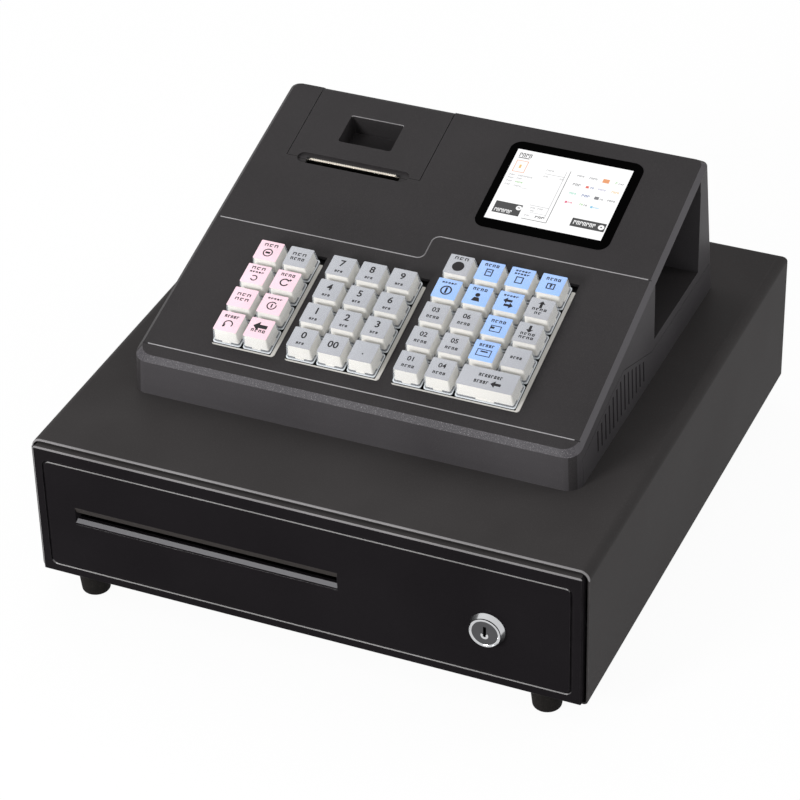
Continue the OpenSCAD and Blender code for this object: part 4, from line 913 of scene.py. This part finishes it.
# %% Keyhole guard and bar sockets
GUARD_T = 0.3 * MM
guard_place = (Matrix.Translation((lock_centre.x, plug_low.y, lock_centre.z))
               @ Matrix.Rotation(math.pi / 2, 4, "X"))
guard = ring_sign((0, -1.6 * MM), 2.3 * MM, 0.95 * MM, -215, 40, 14)
flat_piece("keyhole_guard", guard, guard_place, GUARD_T, lock_chrome, "lock_plug")
bar_low, bar_high = deck_box("tear_bar")
SOCKET = 2.2 * MM
socket_place = deck_place @ Matrix.Translation((0, 0, bar_high.z))
flat_piece("tear_bar_sockets",
           [bar(bar_low.x - 0.3 * MM, bar_low.y, bar_low.x + SOCKET, bar_high.y),
            bar(bar_high.x - SOCKET, bar_low.y, bar_high.x + 0.3 * MM, bar_high.y)],
           socket_place, 0.2 * MM, tray_plastic, "tear_bar")
print("tear bar", round((bar_high.x - bar_low.x) / MM, 1), "mm long")

# %% [markdown]
# ## The picture on the display
# The lit panel is a thin white sheet on the glass, and the picture is drawn on it in the same way
# as the legends: generic boxes, lines and buttons, with no words.

# %% Screen
glass_high = deck_box("display_window")[1]
SCREEN_X = (22.4 * MM, 95.4 * MM)
SCREEN_S = (155.8 * MM, 213.5 * MM)
SCREEN_T = 0.03 * MM
screen_white = glowing("screen_white", (255, 255, 255), 0.9)
screen_dark = glowing("screen_dark", (40, 40, 42), 0.35)
screen_line = glowing("screen_line", (176, 176, 178), 0.8)
screen_w = SCREEN_X[1] - SCREEN_X[0]
screen_h = SCREEN_S[1] - SCREEN_S[0]
screen_place = deck_place @ Matrix.Translation((SCREEN_X[0], SCREEN_S[0], glass_high.z))


def on_screen(name, polygons, layer, material):
    """Shapes of the picture, with X from 0 to 100 and S from 0 to 79, from the lower left."""
    unit = screen_w / 100
    lift = screen_place @ Matrix.Translation((0, 0, layer * SCREEN_T)) @ Matrix.Scale(unit, 4)
    flat_piece("screen_" + name, polygons, lift, SCREEN_T / unit, material, "display_window")


def word(x0, x1, s, height=1.5, letter=1.1):
    """A row of strokes that looks like small print."""
    count = max(1, round((x1 - x0) / (letter * 1.5)))
    step = (x1 - x0) / count
    line = 0.24 * step
    strokes = []
    for k in range(count):
        left, right = x0 + step * k, x0 + step * (k + 0.76)
        strokes.append(bar(left, s, left + line, s + height))
        strokes.append(bar(left + line, s + height - line, right, s + height))
        strokes.append(bar(right - line, s + (0 if k % 2 else height / 2), right, s + height - line))
    return strokes


def words(*rows):
    """Several rows of small print."""
    return [stroke for row in rows for stroke in word(*row)]


HIGH = 100 * screen_h / screen_w
on_screen("sheet", [bar(0, 0, 100, HIGH)], 0, screen_white)
on_screen("buttons", [bar(3.5, 7.4, 26.5, 20), bar(70, 9, 99, 18)], 1, screen_dark)
on_screen("rings", ring_sign((24, 16.4), 2.5, 0.0) + ring_sign((95.6, 13.4), 2.6, 0.0), 2, screen_white)
on_screen("ticks", [bar(23, 16, 25, 16.9), bar(94.9, 12.8, 96.3, 14.1)], 3, screen_dark)
on_screen("button_words", words((5, 20, 8.8, 3.6, 1.5), (72, 91, 11.6, 4.0, 1.8)), 2, screen_white)
on_screen("title", words((3.4, 14.6, 71, 4.4, 2.0)) + [bar(3.4, 69.6, 13, 70.4)], 1, screen_dark)
lines = words((3, 8, 49.5), (10.5, 23, 49.8), (3, 8, 46), (10.5, 15, 46.6), (3, 8, 42.4), (3, 8, 38.6),
              (11, 17, 38.4), (31, 37.5, 61.2), (31, 35, 54), (45, 48.6, 54.2), (33, 37, 18.6),
              (39, 44, 18.8), (34, 37, 15.4), (31, 35, 9.8))
lines += [bar(17, 37.8, 24, 38.1), bar(31, 57.6, 48.6, 58), bar(31, 21.8, 48, 22.2),
          bar(34, 14.2, 48, 14.5), bar(47.6, 10, 48, 64)]
on_screen("lines", lines, 1, screen_line)
bracket = [bar(50.6, 6.4, 51.1, 65.6), bar(29.6, 6.4, 51, 6.9)]
on_screen("bracket", bracket + words((40, 48, 9.6, 2.4, 1.6)), 1, screen_dark)
COLOURED = {
    "orange": ((244, 160, 100), frame_sign(3.6, 54, 13.8, 67, 0.5) + [bar(79.5, 60.4, 85, 64.6)]),
    "red": ((236, 96, 80), [bar(68.4, 51.2, 71, 53.6)]),
    "green": ((130, 205, 100), words((10.5, 17, 42.6), (90.4, 92, 61.4, 2.2), (70, 73, 32.2, 1.8))),
    "blue": ((70, 100, 170), words((72.4, 75.4, 51.4, 2.0), (68.4, 75.4, 41.6, 2.4, 1.6))),
    "sky": ((130, 205, 240), [bar(79.4, 31.4, 81.4, 33.6)] + words((82, 87, 31.6, 1.4))),
    "teal": ((130, 220, 190), words((57.6, 63.6, 41.8, 2.0))),
    "rose": ((236, 90, 130), [bar(57.6, 31.6, 59.4, 33.8)] + words((60, 64, 32, 1.4))),
    "amber": ((248, 200, 110), [bar(7.6, 58.6, 9.4, 62.4)] + words((90.6, 97, 51.4, 2.0))),
    "lilac": ((170, 165, 205), words((79, 85.6, 51.6, 1.6))),
}
for colour, (lit, shapes) in COLOURED.items():
    on_screen(colour, shapes, 1, glowing("screen_" + colour, lit, 0.8))
dark_marks = words((57.4, 63.6, 61.8, 1.6), (68, 75, 61.6, 1.8), (57.2, 64, 51.4, 2.6, 1.6),
                   (84, 87, 41.4, 1.6), (90.4, 97, 41.6, 2.0), (73.6, 76.6, 32, 1.8), (93, 98, 61.6, 1.2))
on_screen("marks", dark_marks + [bar(79.2, 41.2, 83, 44.4)], 1, glowing("screen_soft", (120, 120, 124), 0.8))
print("screen", round(screen_w / MM, 1), "by", round(screen_h / MM, 1), "mm")

# %% [markdown]
# ## Floor and light
# The object stands on a pale floor in a white room. The camera sees a white world, and the floor
# is partly its own light, so that it looks white and still keeps a soft shadow. A mirror and
# clear plastic have to show the same room, so their rays are treated as the camera's.

# %% Floor
WHITE = (1, 1, 1, 1)
FLOOR_R = 4.0
FLOOR_POINTS = 64
turns = [2 * math.pi * k / FLOOR_POINTS for k in range(FLOOR_POINTS)]
floor_mesh = bpy.data.meshes.new("floor")
floor_mesh.from_pydata([(FLOOR_R * math.cos(turn), FLOOR_R * math.sin(turn), 0) for turn in turns],
                       [], [list(range(FLOOR_POINTS))])
floor = bpy.data.objects.new("floor", floor_mesh)
scene.collection.objects.link(floor)
floor_paint, tree, shader = new_material("floor_paint")
fill(tree, shader, {"Base Color": (0.9, 0.9, 0.9, 1), "Roughness": 0.9, "Specular IOR Level": 0.1})


def show(tree, plain, seen, share, output):
    """The camera, a mirror and glass see a share of the second shader, and other rays the first."""
    path = wire(tree, "LightPath").outputs
    mirror_too = maths(tree, "MAXIMUM", path["Is Camera Ray"], path["Is Glossy Ray"])
    glass_too = maths(tree, "MAXIMUM", mirror_too, path["Is Transmission Ray"])
    factor = maths(tree, "MULTIPLY", glass_too, share)
    both = wire(tree, "MixShader", {"Fac": factor, 1: plain.outputs[0], 2: seen.outputs[0]})
    fill(tree, tree.nodes[output], {"Surface": both.outputs[0]})


floor_light = wire(tree, "Emission", {"Color": WHITE, "Strength": 1.0})
show(tree, shader, floor_light, 0.95, "Material Output")
floor_mesh.materials.append(floor_paint)

# %% World and lamps
world = bpy.data.worlds.new("studio")
scene.world = world
world.use_nodes = True
tree = world.node_tree
room = fill(tree, tree.nodes["Background"], {"Color": WHITE, "Strength": 0.68})
backdrop = wire(tree, "Background", {"Color": WHITE, "Strength": 1.0})
show(tree, room, backdrop, 1.0, "World Output")


def softbox(name, direction, distance, size, power):
    """A square area lamp in a direction from the object, looking at it."""
    data = bpy.data.lights.new(name, "AREA")
    data.size = size
    data.energy = power
    lamp = bpy.data.objects.new(name, data)
    aim = Vector((0, 0, 0.1))
    lamp.location = aim + Vector(direction).normalized() * distance
    lamp.rotation_euler = Vector(direction).to_track_quat("Z", "Y").to_euler()
    scene.collection.objects.link(lamp)


softbox("lamp_behind_above", (-0.33, 0.45, 0.83), 2.4, 2.0, 10)
softbox("lamp_front_left", (-0.34, -0.86, 0.38), 2.2, 0.6, 34)
softbox("lamp_right_behind", (0.76, 0.43, 0.47), 2.2, 0.5, 5)
print("lamps", len(bpy.data.lights))
